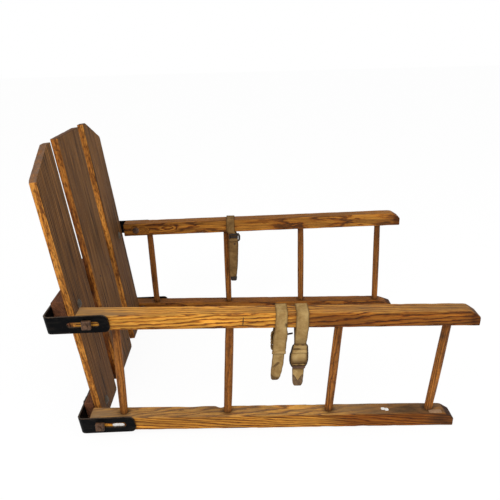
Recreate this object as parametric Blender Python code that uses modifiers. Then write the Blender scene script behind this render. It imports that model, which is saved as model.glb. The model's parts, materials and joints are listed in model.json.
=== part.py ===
"""Wooden sled seat: two spindle sides joined by an adjustable slatted back.

Metres, +Z up. +X is the front, +Y the left side. The floor is at Z = 0 and the
origin is under the middle of the whole object.

The sides are modelled in a level frame whose origin is on the axis of the lower
pivot bolts. The back is modelled in a frame on the same axis, leaning backwards.
Both hang from one empty, which settles the sled on its slat ends and front tips.
"""
import math

import bmesh
import bpy
from mathutils import Matrix, Vector

OBJECT_NAME = "wooden_sled"

# Ladders, the two spindle sides
SPINDLE_PITCH = 0.205
SPINDLE_COUNT = 4
SPINDLE_DIAMETER = 0.0168
SPINDLE_END_DIAMETER = 0.0156
SOCKET_DEPTH = 0.018
RAIL_WIDTH = 0.034
RAIL_HEIGHT = 0.0313
RAIL_GAP = 0.1995
UPPER_RAIL_PAST_SPINDLE = 0.0635
LOWER_RAIL_PAST_SPINDLE = 0.0440
RAIL_END_BEHIND_BOLT = 0.0218
FIRST_SPINDLE_FROM_BOLT = 0.050
RAIL_EDGE_ROUND = 0.0018

# Nose of a rail: a sloping cut on top and a blunt front
NOSE_SLOPE_LENGTH = 0.020
NOSE_SLOPE_DROP = 0.0135
NOSE_ROUND = 0.006
NOSE_HEEL_ROUND = 0.0025
LEFT_LOWER_NOSE_EXTRA = 0.016

# The left upper rail has worked loose and rises towards the front
LEFT_RAIL_LIFT = 0.0055
LEFT_RAIL_RISE = math.radians(1.9)
LEFT_SIDE_SETBACK = 0.010
LEFT_UPPER_RAIL_SHORTFALL = 0.006

# How far each spindle's foot and top stand in front of their even spacing, from the rear
RIGHT_FOOT_OFFSETS = (-0.0057, -0.0018, -0.0026, -0.0048)
RIGHT_TOP_OFFSETS = (-0.0033, 0.0059, 0.0078, 0.0087)
LEFT_FOOT_OFFSETS = (-0.0006, 0.0008, 0.0027, 0.0115)
LEFT_TOP_OFFSETS = (-0.0063, -0.0023, -0.0041, 0.0006)

# Back: three slats on two battens
BACK_LEAN = math.radians(7.1)
SLAT_THICKNESS = 0.0145
OUTER_SLAT_WIDTH = 0.111
MIDDLE_SLAT_WIDTH = 0.1395
SLAT_GAP = 0.0405
BACK_SIDE_CLEARANCE = 0.00575
SLAT_TOP_ABOVE_BOLT = 0.5405
SLAT_END_BELOW_BOLT = 0.0275
SLAT_FACE_BEHIND_BOLT = 0.0063
CLIP_WIDTH = 0.0915
CLIP_DROP = 0.047
CLIP_ROUND = 0.012
SLAT_EDGE_ROUND = 0.0012
BATTEN_ABOVE_BAR_MIDDLE = 0.0205
LOWER_BATTEN_BELOW_BAR_MIDDLE = 0.0205
UPPER_BATTEN_BELOW_BAR_MIDDLE = 0.0325
UPPER_BATTEN_THICKNESS = 0.0255
LOWER_BATTEN_THICKNESS = 0.019
BATTEN_EDGE_ROUND = 0.0012

# Brackets: one bent flat bar behind each batten
BAR_HEIGHT = 0.035
BAR_THICKNESS = 0.0032
BAR_BEND_RADIUS = 0.011
ARM_PAST_SLOT = 0.0178
ARM_RISE = math.radians(2.0)
ARM_END_ROUND = 0.011
SLOT_LENGTH = 0.059
SLOT_HEIGHT = 0.0104
SLOT_REAR_BEHIND_BOLT = 0.0081
UPPER_SLOT_DROP = 0.0005

# Bolts and nuts
BOLT_DIAMETER = 0.008
BOLT_HEAD_DIAMETER = 0.018
BOLT_HEAD_HEIGHT = 0.0045
BOLT_END_PROUD = 0.0035
NUT_WIDTH = 0.017
NUT_THICKNESS = 0.007
NUT_EDGE_ROUND = 0.0008
BACK_BOLT_FROM_SLAT_EDGE = 0.0345

# Webbing straps on the upper rails
WEBBING_WIDTH = 0.0236
WEBBING_THICKNESS = 0.0022
STRAP_SEAT = 0.0005
STRAP_JOIN_DROP = 0.036
LEFT_STRAP_JOIN_DROP = 0.010
RIGHT_REAR_STRAP_DROP = 0.119
RIGHT_FRONT_STRAP_DROP = 0.1135
LEFT_STRAP_DROP = 0.118
RIGHT_REAR_STRAP_FROM_SPINDLE = 0.101
RIGHT_FRONT_STRAP_FROM_SPINDLE = 0.139
LEFT_STRAP_FROM_SPINDLE = 0.0208
BUCKLE_WIDTH = 0.0345
BUCKLE_HEIGHT = 0.050
BUCKLE_DEPTH = 0.0105
SMALL_BUCKLE_WIDTH = 0.030
SMALL_BUCKLE_HEIGHT = 0.020
SMALL_BUCKLE_DEPTH = 0.009
BUCKLE_EDGE_ROUND = 0.0015
TIP_HEIGHT = 0.020
TIP_NOTCH_DEPTH = 0.007
TIP_THICKNESS = 0.0034
TIP_ROUND = 0.008

# Shared values of the making
SEAT = 0.0003
SIDE_PLAY = 0.0004
OVERRUN = 0.01
ROUND_STEPS = 24
FINE_STEPS = 16
ARC_STEPS = 6
EDGE_STEPS = 2
MERGE = 0.00001

# Colours and surface values
OAK = ("oak", (0.42, 0.20, 0.065), 0.5, 0.0)
SLAT_WOOD = ("slat_wood", (0.16, 0.095, 0.055), 0.65, 0.0)
BATTEN_WOOD = ("batten_wood", (0.15, 0.075, 0.05), 0.7, 0.0)
BLACK_PAINT = ("black_paint", (0.012, 0.013, 0.015), 0.45, 0.4)
RUSTY_STEEL = ("rusty_steel", (0.12, 0.075, 0.05), 0.7, 0.6)
WEBBING = ("webbing", (0.36, 0.27, 0.14), 0.9, 0.0)
BUCKLE_METAL = ("buckle_metal", (0.30, 0.24, 0.13), 0.45, 0.8)

# Places that follow from the sizes, in the level frame of the sides
HALF_RAIL = RAIL_HEIGHT / 2
UPPER_BOLT_UP = RAIL_GAP + RAIL_HEIGHT
LAST_SPINDLE_FROM_BOLT = FIRST_SPINDLE_FROM_BOLT + (SPINDLE_COUNT - 1) * SPINDLE_PITCH
UPPER_RAIL_LENGTH = RAIL_END_BEHIND_BOLT + LAST_SPINDLE_FROM_BOLT + UPPER_RAIL_PAST_SPINDLE
LOWER_RAIL_LENGTH = RAIL_END_BEHIND_BOLT + LAST_SPINDLE_FROM_BOLT + LOWER_RAIL_PAST_SPINDLE
RIGHT = -1
LEFT = 1
SPINDLE_OFFSETS = {
    RIGHT: (RIGHT_FOOT_OFFSETS, RIGHT_TOP_OFFSETS),
    LEFT: (LEFT_FOOT_OFFSETS, LEFT_TOP_OFFSETS),
}
SIDE_NAMES = {RIGHT: "right", LEFT: "left"}

# Places that follow from the sizes, in the frame of the back
BACK_WIDTH = 2 * OUTER_SLAT_WIDTH + MIDDLE_SLAT_WIDTH + 2 * SLAT_GAP
LADDER_SPACING = BACK_WIDTH + 2 * BACK_SIDE_CLEARANCE + RAIL_WIDTH
SLAT_MIDDLE_X = -SLAT_FACE_BEHIND_BOLT - SLAT_THICKNESS / 2
BATTEN_FRONT_X = -SLAT_FACE_BEHIND_BOLT - SLAT_THICKNESS - SEAT
BATTEN_THICKNESSES = {"lower": LOWER_BATTEN_THICKNESS, "upper": UPPER_BATTEN_THICKNESS}
BATTEN_DROPS = {"lower": LOWER_BATTEN_BELOW_BAR_MIDDLE, "upper": UPPER_BATTEN_BELOW_BAR_MIDDLE}
SLOT_FRONT_X = SLOT_LENGTH - SLOT_REAR_BEHIND_BOLT
ARM_END_X = SLOT_FRONT_X + ARM_PAST_SLOT
ARM_DROOP = math.tan(BACK_LEAN - ARM_RISE)
UPPER_SLOT_UP = UPPER_BOLT_UP * (math.cos(BACK_LEAN) + ARM_DROOP * math.sin(BACK_LEAN)) - UPPER_SLOT_DROP
SLOT_UPS = {"lower": 0.0, "upper": UPPER_SLOT_UP}
BAR_ROLLS = {"lower": 0.0, "upper": LEFT_RAIL_LIFT / LADDER_SPACING}


# Scene and collections

def clear_scene():
    for old in list(bpy.data.objects):
        bpy.data.objects.remove(old, do_unlink=True)


def make_collection(name):
    group = bpy.data.collections.new(name)
    bpy.context.scene.collection.children.link(group)
    return group


def make_material(spec):
    name, colour, roughness, metallic = spec
    found = bpy.data.materials.get(name)
    if found:
        return found
    made = bpy.data.materials.new(name)
    made.use_nodes = True
    shader = made.node_tree.nodes["Principled BSDF"]
    shader.inputs["Base Color"].default_value = (*colour, 1)
    shader.inputs["Roughness"].default_value = roughness
    shader.inputs["Metallic"].default_value = metallic
    return made


def add_object(name, mesh, spec=None, parent=None):
    made = bpy.data.objects.new(name, mesh)
    if spec:
        parts.objects.link(made)
        mesh.materials.append(make_material(spec))
    else:
        cutters.objects.link(made)
        made.hide_render = True
        made.display_type = "WIRE"
    made.parent = parent
    return made


def add_empty(name, parent=None):
    made = bpy.data.objects.new(name, None)
    parts.objects.link(made)
    made.parent = parent
    return made


# Meshes

def mesh_from(work, name):
    mesh = bpy.data.meshes.new(name)
    work.to_mesh(mesh)
    work.free()
    return mesh


def box_mesh(name, size):
    work = bmesh.new()
    bmesh.ops.create_cube(work, size=1)
    bmesh.ops.scale(work, vec=size, verts=work.verts)
    return mesh_from(work, name)


def cylinder_mesh(name, diameter, length, steps=ROUND_STEPS):
    work = bmesh.new()
    bmesh.ops.create_cone(
        work, cap_ends=True, segments=steps, radius1=diameter / 2, radius2=diameter / 2, depth=length
    )
    return mesh_from(work, name)


def prism_mesh(name, loops, depth):
    """A flat outline, with any holes, as a plate of this depth centred on its own Z."""
    curve = bpy.data.curves.new(name, "CURVE")
    curve.dimensions = "2D"
    curve.fill_mode = "BOTH"
    curve.extrude = depth / 2
    for loop in loops:
        spline = curve.splines.new("POLY")
        spline.points.add(len(loop) - 1)
        for point, (across, up) in zip(spline.points, loop):
            point.co = (across, up, 0, 1)
        spline.use_cyclic_u = True
    guide = bpy.data.objects.new(name, curve)
    cutters.objects.link(guide)
    bpy.context.view_layer.update()
    evaluated = guide.evaluated_get(bpy.context.evaluated_depsgraph_get())
    mesh = bpy.data.meshes.new_from_object(evaluated)
    bpy.data.objects.remove(guide)
    bpy.data.curves.remove(curve)
    work = bmesh.new()
    work.from_mesh(mesh)
    bpy.data.meshes.remove(mesh)
    bmesh.ops.remove_doubles(work, verts=work.verts, dist=MERGE)
    bmesh.ops.recalc_face_normals(work, faces=work.faces)
    return mesh_from(work, name)


def arc(centre, radius, start, end, steps=ARC_STEPS):
    """Points on an arc, with both angles in degrees."""
    points = []
    for step in range(steps + 1):
        angle = math.radians(start + (end - start) * step / steps)
        points.append((centre[0] + radius * math.cos(angle), centre[1] + radius * math.sin(angle)))
    return points


def turned_mesh(name, profile, steps):
    """A profile of (radius, height), from the top to the bottom, turned about Z."""
    work = bmesh.new()
    points = [work.verts.new((radius, 0, height)) for radius, height in profile]
    for first, second in zip(points, points[1:]):
        work.edges.new((first, second))
    line = bpy.data.objects.new(name, mesh_from(work, name + "_profile"))
    cutters.objects.link(line)
    screw = line.modifiers.new("turn", "SCREW")
    screw.axis = "Z"
    screw.steps = steps
    screw.render_steps = steps
    screw.use_merge_vertices = True
    screw.merge_threshold = MERGE
    bpy.context.view_layer.update()
    evaluated = line.evaluated_get(bpy.context.evaluated_depsgraph_get())
    mesh = bpy.data.meshes.new_from_object(evaluated)
    bpy.data.objects.remove(line)
    work = bmesh.new()
    work.from_mesh(mesh)
    bpy.data.meshes.remove(mesh)
    bmesh.ops.remove_doubles(work, verts=work.verts, dist=MERGE)
    bmesh.ops.recalc_face_normals(work, faces=work.faces)
    return mesh_from(work, name)


def smooth(mesh):
    mesh.shade_smooth()
    mesh.set_sharp_from_angle(angle=math.radians(40))


def round_edges(target, width, steps=EDGE_STEPS):
    bevel = target.modifiers.new("edges", "BEVEL")
    bevel.width = width
    bevel.segments = steps
    bevel.limit_method = "ANGLE"
    bevel.angle_limit = math.radians(30)


def cut(target, cutter):
    boolean = target.modifiers.new("cut", "BOOLEAN")
    boolean.operation = "DIFFERENCE"
    boolean.solver = "EXACT"
    boolean.object = cutter


# Sides

def rail_outline(length, slope_length):
    """Side view of a rail: X from its rear end, Y up from its underside."""
    slope = math.degrees(math.atan2(NOSE_SLOPE_DROP, slope_length))
    shoulder = RAIL_HEIGHT - NOSE_SLOPE_DROP
    heel = arc((length - NOSE_HEEL_ROUND, NOSE_HEEL_ROUND), NOSE_HEEL_ROUND, -90, 0)
    tangent = NOSE_ROUND * math.tan(math.radians(45 - slope / 2))
    brow = arc((length - NOSE_ROUND, shoulder - tangent), NOSE_ROUND, 0, 90 - slope)
    return [(0, 0)] + heel + brow + [(length - slope_length, RAIL_HEIGHT), (0, RAIL_HEIGHT)]


def spindle_x(side, index):
    even = FIRST_SPINDLE_FROM_BOLT + index * SPINDLE_PITCH
    return even - LEFT_SIDE_SETBACK if side == LEFT else even


def upper_rail_pose(side):
    """Height of the upper rail's underside at the bolt, and its rise to the front."""
    underside = HALF_RAIL + RAIL_GAP
    if side == LEFT:
        return underside + LEFT_RAIL_LIFT, LEFT_RAIL_RISE
    return underside, 0.0


def spindle_ends(side, index):
    """Where a spindle leaves the lower rail's top and enters the upper rail's underside."""
    feet, tops = SPINDLE_OFFSETS[side]
    across = side * LADDER_SPACING / 2
    foot_x = spindle_x(side, index) + feet[index]
    top_x = spindle_x(side, index) + tops[index]
    underside, rise = upper_rail_pose(side)
    foot = Vector((foot_x, across, HALF_RAIL))
    return foot, Vector((top_x, across, underside + top_x * math.tan(rise)))


def make_rail(side, level, length, underside, rise, nose_extra=0.0):
    name = f"{level}_rail_{SIDE_NAMES[side]}"
    outline = rail_outline(length + nose_extra, NOSE_SLOPE_LENGTH + nose_extra)
    rail = add_object(name, prism_mesh(name, [outline], RAIL_WIDTH), OAK, ladders)
    frame = Matrix.Translation((0, side * LADDER_SPACING / 2, underside))
    setback = LEFT_SIDE_SETBACK if side == LEFT else 0.0
    frame @= Matrix.Rotation(-rise, 4, "Y")
    frame @= Matrix.Translation((-RAIL_END_BEHIND_BOLT - setback, 0, 0))
    rail.matrix_local = frame @ Matrix.Rotation(math.radians(90), 4, "X")
    round_edges(rail, RAIL_EDGE_ROUND)
    return rail


def cut_bolt_hole(rail, side, up):
    hole = add_object(rail.name + "_bolt_hole", bolt_hole_mesh(RAIL_WIDTH), parent=ladders)
    hole.matrix_local = Matrix.Translation((0, side * LADDER_SPACING / 2, up)) @ Matrix.Rotation(
        math.radians(90), 4, "X"
    )
    cut(rail, hole)


def along(start, direction, distance):
    """A frame at this distance from the start, with its Z along the direction."""
    turn = direction.to_track_quat("Z", "Y").to_matrix().to_4x4()
    return Matrix.Translation(start + direction.normalized() * distance) @ turn


def cut_socket(rail, index, mouth, inward):
    """A blind hole for a spindle, from past its mouth to its floor."""
    depth = SOCKET_DEPTH + OVERRUN
    mesh = cylinder_mesh("socket", SPINDLE_END_DIAMETER + 2 * SEAT, depth)
    socket = add_object(f"{rail.name}_socket_{index + 1}", mesh, parent=ladders)
    socket.matrix_local = along(mouth, inward, SOCKET_DEPTH - depth / 2)
    cut(rail, socket)


def make_spindle(side, index):
    name = f"spindle_{SIDE_NAMES[side]}_{index + 1}"
    foot, top = spindle_ends(side, index)
    reach = top - foot
    half = reach.length / 2 + SOCKET_DEPTH - SEAT
    end = SPINDLE_END_DIAMETER / 2
    belly = SPINDLE_DIAMETER / 2
    shoulder = half - SOCKET_DEPTH
    profile = [(0, half), (end, half), (end, shoulder)]
    for share in (0.6, 0.2, -0.2, -0.6):
        profile.append((belly + (end - belly) * share ** 2, shoulder * share))
    profile += [(end, -shoulder), (end, -half), (0, -half)]
    mesh = turned_mesh(name, profile, ROUND_STEPS)
    smooth(mesh)
    spindle = add_object(name, mesh, OAK, ladders)
    spindle.matrix_local = along(foot, reach, reach.length / 2)


def bolt_mesh(name, grip):
    """A round-headed bolt with its head on top: the head's seat is at Z = 0."""
    head = BOLT_HEAD_DIAMETER / 2
    shank = BOLT_DIAMETER / 2
    dome = (head ** 2 + BOLT_HEAD_HEIGHT ** 2) / (2 * BOLT_HEAD_HEIGHT)
    sweep = math.degrees(math.asin(head / dome))
    profile = arc((0, BOLT_HEAD_HEIGHT - dome), dome, 90, 90 - sweep)
    profile[0] = (0, BOLT_HEAD_HEIGHT)
    profile[-1] = (head, 0)
    profile += [(shank, 0), (shank, -grip), (0, -grip)]
    mesh = turned_mesh(name, profile, FINE_STEPS)
    smooth(mesh)
    return mesh


def bolt_hole_mesh(depth):
    return cylinder_mesh("bolt_hole", BOLT_DIAMETER + 2 * SEAT, depth + 2 * OVERRUN, FINE_STEPS)


def add_nut(name, parent, matrix):
    nut = add_object(name, box_mesh(name, (NUT_WIDTH, NUT_WIDTH, NUT_THICKNESS)), RUSTY_STEEL, parent)
    nut.matrix_local = matrix
    round_edges(nut, NUT_EDGE_ROUND, 1)
    hole = add_object(name + "_hole", bolt_hole_mesh(NUT_THICKNESS), parent=parent)
    hole.matrix_local = matrix
    cut(nut, hole)


def add_pivot_bolt(side, level, up):
    """A bolt from the inside of a rail out through the bracket's slot, with its nut."""
    side_name = SIDE_NAMES[side]
    outward = Matrix.Translation((0, side * LADDER_SPACING / 2, up)) @ Matrix.Rotation(
        side * math.radians(90), 4, "X"
    )
    half = RAIL_WIDTH / 2
    grip = RAIL_WIDTH + SEAT + SIDE_PLAY + BAR_THICKNESS + SEAT + NUT_THICKNESS + BOLT_END_PROUD
    name = f"{level}_bolt_{side_name}"
    bolt = add_object(name, bolt_mesh(name, grip), RUSTY_STEEL, ladders)
    bolt.matrix_local = outward @ Matrix.Translation((0, 0, half + SEAT))
    seat = half + SIDE_PLAY + BAR_THICKNESS + SEAT + NUT_THICKNESS / 2
    add_nut(f"{level}_nut_{side_name}", ladders, outward @ Matrix.Translation((0, 0, -seat)))


def make_side(side):
    upper_up, upper_rise = upper_rail_pose(side)
    nose_extra = LEFT_LOWER_NOSE_EXTRA if side == LEFT else 0.0
    lower = make_rail(side, "lower", LOWER_RAIL_LENGTH, -HALF_RAIL, 0.0, nose_extra)
    shortfall = LEFT_UPPER_RAIL_SHORTFALL if side == LEFT else 0.0
    upper = make_rail(side, "upper", UPPER_RAIL_LENGTH - shortfall, upper_up, upper_rise)
    upper_bolt_up = upper_up + RAIL_HEIGHT / 2
    cut_bolt_hole(lower, side, 0.0)
    cut_bolt_hole(upper, side, upper_bolt_up)
    for index in range(SPINDLE_COUNT):
        foot, top = spindle_ends(side, index)
        cut_socket(lower, index, foot, foot - top)
        cut_socket(upper, index, top, top - foot)
        make_spindle(side, index)
    add_pivot_bolt(side, "lower", 0.0)
    add_pivot_bolt(side, "upper", upper_bolt_up)


# Straps

def strap_loops(hang_y, drop, join_drop):
    """Side view of a strap round a rail: X is across the rail, Y up from its underside."""
    reach = RAIL_WIDTH / 2 + STRAP_SEAT
    over = RAIL_HEIGHT + STRAP_SEAT
    thick = WEBBING_THICKNESS
    half = thick
    outer = [
        (-reach - thick, over + thick), (-reach - thick, -STRAP_SEAT), (hang_y - half, -join_drop),
        (hang_y - half, -drop), (hang_y + half, -drop), (hang_y + half, -join_drop),
        (reach + thick, -STRAP_SEAT), (reach + thick, over + thick),
    ]
    inner = [
        (-reach, over), (-reach, -STRAP_SEAT), (hang_y, -join_drop + 2 * thick),
        (reach, -STRAP_SEAT), (reach, over),
    ]
    return [outer, inner]


def strap_frame(side, strap_x):
    up, rise = upper_rail_pose(side)
    frame = Matrix.Translation((strap_x, side * LADDER_SPACING / 2, up + strap_x * math.tan(rise)))
    return frame


def make_strap(name, side, strap_x, hang_y, drop, join_drop):
    loops = strap_loops(hang_y, drop, join_drop)
    strap = add_object(name, prism_mesh(name, loops, WEBBING_WIDTH), WEBBING, ladders)
    turn = Matrix(((0, 0, 1, 0), (1, 0, 0, 0), (0, 1, 0, 0), (0, 0, 0, 1)))
    strap.matrix_local = strap_frame(side, strap_x) @ turn


def make_buckle(name, side, strap_x, hang_y, up, size):
    width, depth, height = size
    buckle = add_object(name, box_mesh(name, (width, depth, height)), BUCKLE_METAL, ladders)
    place = strap_frame(side, strap_x) @ Matrix.Translation((0, hang_y, up))
    buckle.matrix_local = place
    round_edges(buckle, BUCKLE_EDGE_ROUND)
    throat_size = (WEBBING_WIDTH + 2 * SEAT, 2 * WEBBING_THICKNESS + 2 * SEAT, height + OVERRUN)
    throat = add_object(name + "_throat", box_mesh(name + "_throat", throat_size), parent=ladders)
    throat.matrix_local = place
    cut(buckle, throat)


def make_tip(name, side, strap_x, hang_y, drop, notch):
    half = WEBBING_WIDTH / 2
    if notch:
        foot = [(-half, -TIP_HEIGHT), (0, notch - TIP_HEIGHT), (half, -TIP_HEIGHT)]
    else:
        left_round = arc((TIP_ROUND - half, TIP_ROUND - TIP_HEIGHT), TIP_ROUND, 180, 270)
        right_round = arc((half - TIP_ROUND, TIP_ROUND - TIP_HEIGHT), TIP_ROUND, -90, 0)
        foot = left_round + right_round
    outline = [(-half, 0)] + foot + [(half, 0)]
    tip = add_object(name, prism_mesh(name, [outline], TIP_THICKNESS), BUCKLE_METAL, ladders)
    place = Matrix.Translation((0, hang_y, -drop - SEAT)) @ Matrix.Rotation(math.radians(90), 4, "X")
    tip.matrix_local = strap_frame(side, strap_x) @ place


def make_straps():
    outside = -RAIL_WIDTH / 4
    inside = -RAIL_WIDTH / 2
    rear_x = spindle_x(RIGHT, 1) + RIGHT_REAR_STRAP_FROM_SPINDLE
    front_x = spindle_x(RIGHT, 1) + RIGHT_FRONT_STRAP_FROM_SPINDLE
    left_x = spindle_ends(LEFT, 1)[1].x + LEFT_STRAP_FROM_SPINDLE
    join = STRAP_JOIN_DROP
    left_join = LEFT_STRAP_JOIN_DROP
    make_strap("strap_right_rear", RIGHT, rear_x, outside, RIGHT_REAR_STRAP_DROP, join)
    make_strap("strap_right_front", RIGHT, front_x, outside, RIGHT_FRONT_STRAP_DROP, join)
    make_strap("strap_left", LEFT, left_x, inside, LEFT_STRAP_DROP, left_join)
    big = (BUCKLE_WIDTH, BUCKLE_DEPTH, BUCKLE_HEIGHT)
    small = (SMALL_BUCKLE_WIDTH, SMALL_BUCKLE_DEPTH, SMALL_BUCKLE_HEIGHT)
    big_up = -join - SEAT - BUCKLE_HEIGHT / 2
    small_up = -join - SEAT - SMALL_BUCKLE_HEIGHT / 2
    left_up = -left_join - SEAT - SMALL_BUCKLE_HEIGHT / 2
    make_buckle("buckle_right_front", RIGHT, front_x, outside, big_up, big)
    make_buckle("buckle_right_rear", RIGHT, rear_x, outside, small_up, small)
    make_buckle("buckle_left", LEFT, left_x, inside, left_up, small)
    make_tip("strap_tip_right_front", RIGHT, front_x, outside, RIGHT_FRONT_STRAP_DROP, TIP_NOTCH_DEPTH)
    make_tip("strap_tip_left", LEFT, left_x, inside, LEFT_STRAP_DROP, 0)


# Back

def slat_outline(width, clip_side):
    """Front view of a slat: X across it, Y up from the bolt axis, with one corner clipped."""
    half = width / 2
    low = -SLAT_END_BELOW_BOLT
    high = SLAT_TOP_ABOVE_BOLT
    if clip_side == 0:
        return [(-half, low), (half, low), (half, high), (-half, high)]
    slope = math.degrees(math.atan2(CLIP_DROP, CLIP_WIDTH))
    setback = CLIP_ROUND * math.tan(math.radians(45 - slope / 2))
    corner = arc((half - CLIP_ROUND, high - CLIP_DROP - setback), CLIP_ROUND, 0, 90 - slope)
    points = [(-half, low), (half, low)] + corner + [(half - CLIP_WIDTH, high), (-half, high)]
    if clip_side == RIGHT:
        points = [(-across, up) for across, up in reversed(points)]
    return points


def make_slat(name, width, middle_y, clip_side):
    mesh = prism_mesh(name, [slat_outline(width, clip_side)], SLAT_THICKNESS)
    slat = add_object(name, mesh, SLAT_WOOD, back)
    turn = Matrix(((0, 0, 1, 0), (1, 0, 0, 0), (0, 1, 0, 0), (0, 0, 0, 1)))
    slat.matrix_local = Matrix.Translation((SLAT_MIDDLE_X, middle_y, 0)) @ turn
    round_edges(slat, SLAT_EDGE_ROUND)
    return slat


def bar_rear_x(level):
    return BATTEN_FRONT_X - BATTEN_THICKNESSES[level] - SEAT - BAR_THICKNESS


def bar_up(level, across):
    """Height of the middle of a bar's cross member, at a place across the back."""
    droop = ARM_DROOP * -bar_rear_x(level)
    return SLOT_UPS[level] + droop + BAR_ROLLS[level] * (across + LADDER_SPACING / 2)


def make_batten(level):
    name = f"batten_{level}"
    thickness = BATTEN_THICKNESSES[level]
    height = BATTEN_ABOVE_BAR_MIDDLE + BATTEN_DROPS[level]
    middle = bar_up(level, 0) + BATTEN_ABOVE_BAR_MIDDLE - height / 2
    mesh = box_mesh(name, (thickness, BACK_WIDTH, height))
    batten = add_object(name, mesh, BATTEN_WOOD, back)
    batten.location = (BATTEN_FRONT_X - thickness / 2, 0, middle)
    round_edges(batten, BATTEN_EDGE_ROUND)
    return batten


def bracket_outline(rear):
    """Plan of the bent bar: X forward from the bolt axis, Y across."""
    inner = LADDER_SPACING / 2 + RAIL_WIDTH / 2 + SIDE_PLAY
    outer = inner + BAR_THICKNESS
    bend = BAR_BEND_RADIUS
    tight = bend - BAR_THICKNESS
    outside = [(ARM_END_X, outer)] + arc((rear + bend, outer - bend), bend, 90, 180)
    outside += [(along, -across) for along, across in reversed(outside)]
    inside = arc((rear + bend, outer - bend), tight, 180, 90) + [(ARM_END_X, inner)]
    inside = [(along, -across) for along, across in reversed(inside)] + inside
    return outside + inside


def arm_end_outlines():
    """Side views of what is cut from the two corners of an arm's end."""
    half = BAR_HEIGHT / 2
    start = ARM_END_X - ARM_END_ROUND
    top = arc((start, half - ARM_END_ROUND), ARM_END_ROUND, 0, 90)
    foot = arc((start, ARM_END_ROUND - half), ARM_END_ROUND, -90, 0)
    corner = ARM_END_X + OVERRUN
    above = half + OVERRUN
    upper = [(corner, half - ARM_END_ROUND), (corner, above), (start, above)] + top[::-1]
    lower = foot[::-1] + [(start, -above), (corner, -above), (corner, ARM_END_ROUND - half)]
    return upper, lower


def slot_outline():
    half = SLOT_HEIGHT / 2
    rear = half - SLOT_REAR_BEHIND_BOLT
    return arc((SLOT_FRONT_X - half, 0), half, -90, 90) + arc((rear, 0), half, 90, 270)


def make_bracket(level):
    name = f"bracket_{level}"
    mesh = prism_mesh(name, [bracket_outline(bar_rear_x(level))], BAR_HEIGHT)
    bracket = add_object(name, mesh, BLACK_PAINT, back)
    through = LADDER_SPACING + RAIL_WIDTH + 2 * BAR_THICKNESS + 2 * OVERRUN
    upright = Matrix.Rotation(math.radians(90), 4, "X")
    lean = Matrix.Identity(4)
    lean[2][0] = -ARM_DROOP
    lean[2][1] = BAR_ROLLS[level]
    lean[2][3] = SLOT_UPS[level] + BAR_ROLLS[level] * LADDER_SPACING / 2
    mesh.transform(lean)
    upper_corner, lower_corner = arm_end_outlines()
    outlines = (("slot", slot_outline()), ("end_top", upper_corner), ("end_foot", lower_corner))
    for part_name, outline in outlines:
        cutter = add_object(f"{name}_{part_name}", prism_mesh(part_name, [outline], through), parent=back)
        cutter.data.transform(lean @ upright)
        cut(bracket, cutter)
    return bracket


def add_back_bolt(level, side, slat, batten, bracket):
    """A bolt through a slat, its batten and the bar behind it."""
    name = f"back_bolt_{level}_{SIDE_NAMES[side]}"
    across = side * (BACK_WIDTH / 2 - BACK_BOLT_FROM_SLAT_EDGE)
    backward = Matrix.Translation((0, across, bar_up(level, across)))
    backward @= Matrix.Rotation(math.radians(90), 4, "Y")
    rear = bar_rear_x(level)
    head_x = -SLAT_FACE_BEHIND_BOLT + SEAT
    grip = head_x - rear + SEAT + NUT_THICKNESS + BOLT_END_PROUD
    bolt = add_object(name, bolt_mesh(name, grip), RUSTY_STEEL, back)
    bolt.matrix_local = backward @ Matrix.Translation((0, 0, head_x))
    hole = add_object(name + "_hole", bolt_hole_mesh(grip), parent=back)
    hole.matrix_local = backward @ Matrix.Translation((0, 0, head_x - grip / 2))
    for pierced in (slat, batten, bracket):
        cut(pierced, hole)
    seat = rear - SEAT - NUT_THICKNESS / 2
    add_nut(name.replace("bolt", "nut"), back, backward @ Matrix.Translation((0, 0, seat)))


def make_back():
    outer_y = (MIDDLE_SLAT_WIDTH + OUTER_SLAT_WIDTH) / 2 + SLAT_GAP
    slats = {
        RIGHT: make_slat("slat_right", OUTER_SLAT_WIDTH, -outer_y, RIGHT),
        LEFT: make_slat("slat_left", OUTER_SLAT_WIDTH, outer_y, LEFT),
    }
    make_slat("slat_middle", MIDDLE_SLAT_WIDTH, 0, 0)
    for level in ("lower", "upper"):
        batten = make_batten(level)
        bracket = make_bracket(level)
        for side in (RIGHT, LEFT):
            add_back_bolt(level, side, slats[side], batten, bracket)


# Rest

def rest_pitch():
    """Pitch at which the slats' rear ends and the lower rails' front ends share the floor."""
    rear_x = -SLAT_FACE_BEHIND_BOLT - SLAT_THICKNESS
    heel = Vector((rear_x, 0, -SLAT_END_BELOW_BOLT))
    heel.rotate(Matrix.Rotation(-BACK_LEAN, 3, "Y"))
    tip_x = LOWER_RAIL_LENGTH - RAIL_END_BEHIND_BOLT - NOSE_HEEL_ROUND
    return math.atan2(-HALF_RAIL - heel.z, tip_x - heel.x)


def world_bounds():
    bpy.context.view_layer.update()
    graph = bpy.context.evaluated_depsgraph_get()
    points = []
    for part in parts.objects:
        if part.type == "MESH":
            shown = part.evaluated_get(graph)
            points += [shown.matrix_world @ vertex.co for vertex in shown.data.vertices]
    low = Vector([min(point[axis] for point in points) for axis in range(3)])
    high = Vector([max(point[axis] for point in points) for axis in range(3)])
    return low, high


def settle():
    """Pitch the sled onto the floor and bring the origin under the middle of it."""
    rest.rotation_euler = (0, rest_pitch(), 0)
    low, high = world_bounds()
    middle = (low + high) / 2
    rest.location = (-middle.x, -middle.y, -low.z)
    bpy.context.view_layer.update()


clear_scene()
parts = make_collection(OBJECT_NAME)
cutters = make_collection(OBJECT_NAME + "_cutters")
rest = add_empty("rest")
ladders = add_empty("ladders", rest)
back = add_empty("back", rest)
back.rotation_euler = (0, -BACK_LEAN, 0)
for each_side in (RIGHT, LEFT):
    make_side(each_side)
make_straps()
make_back()
settle()
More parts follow.
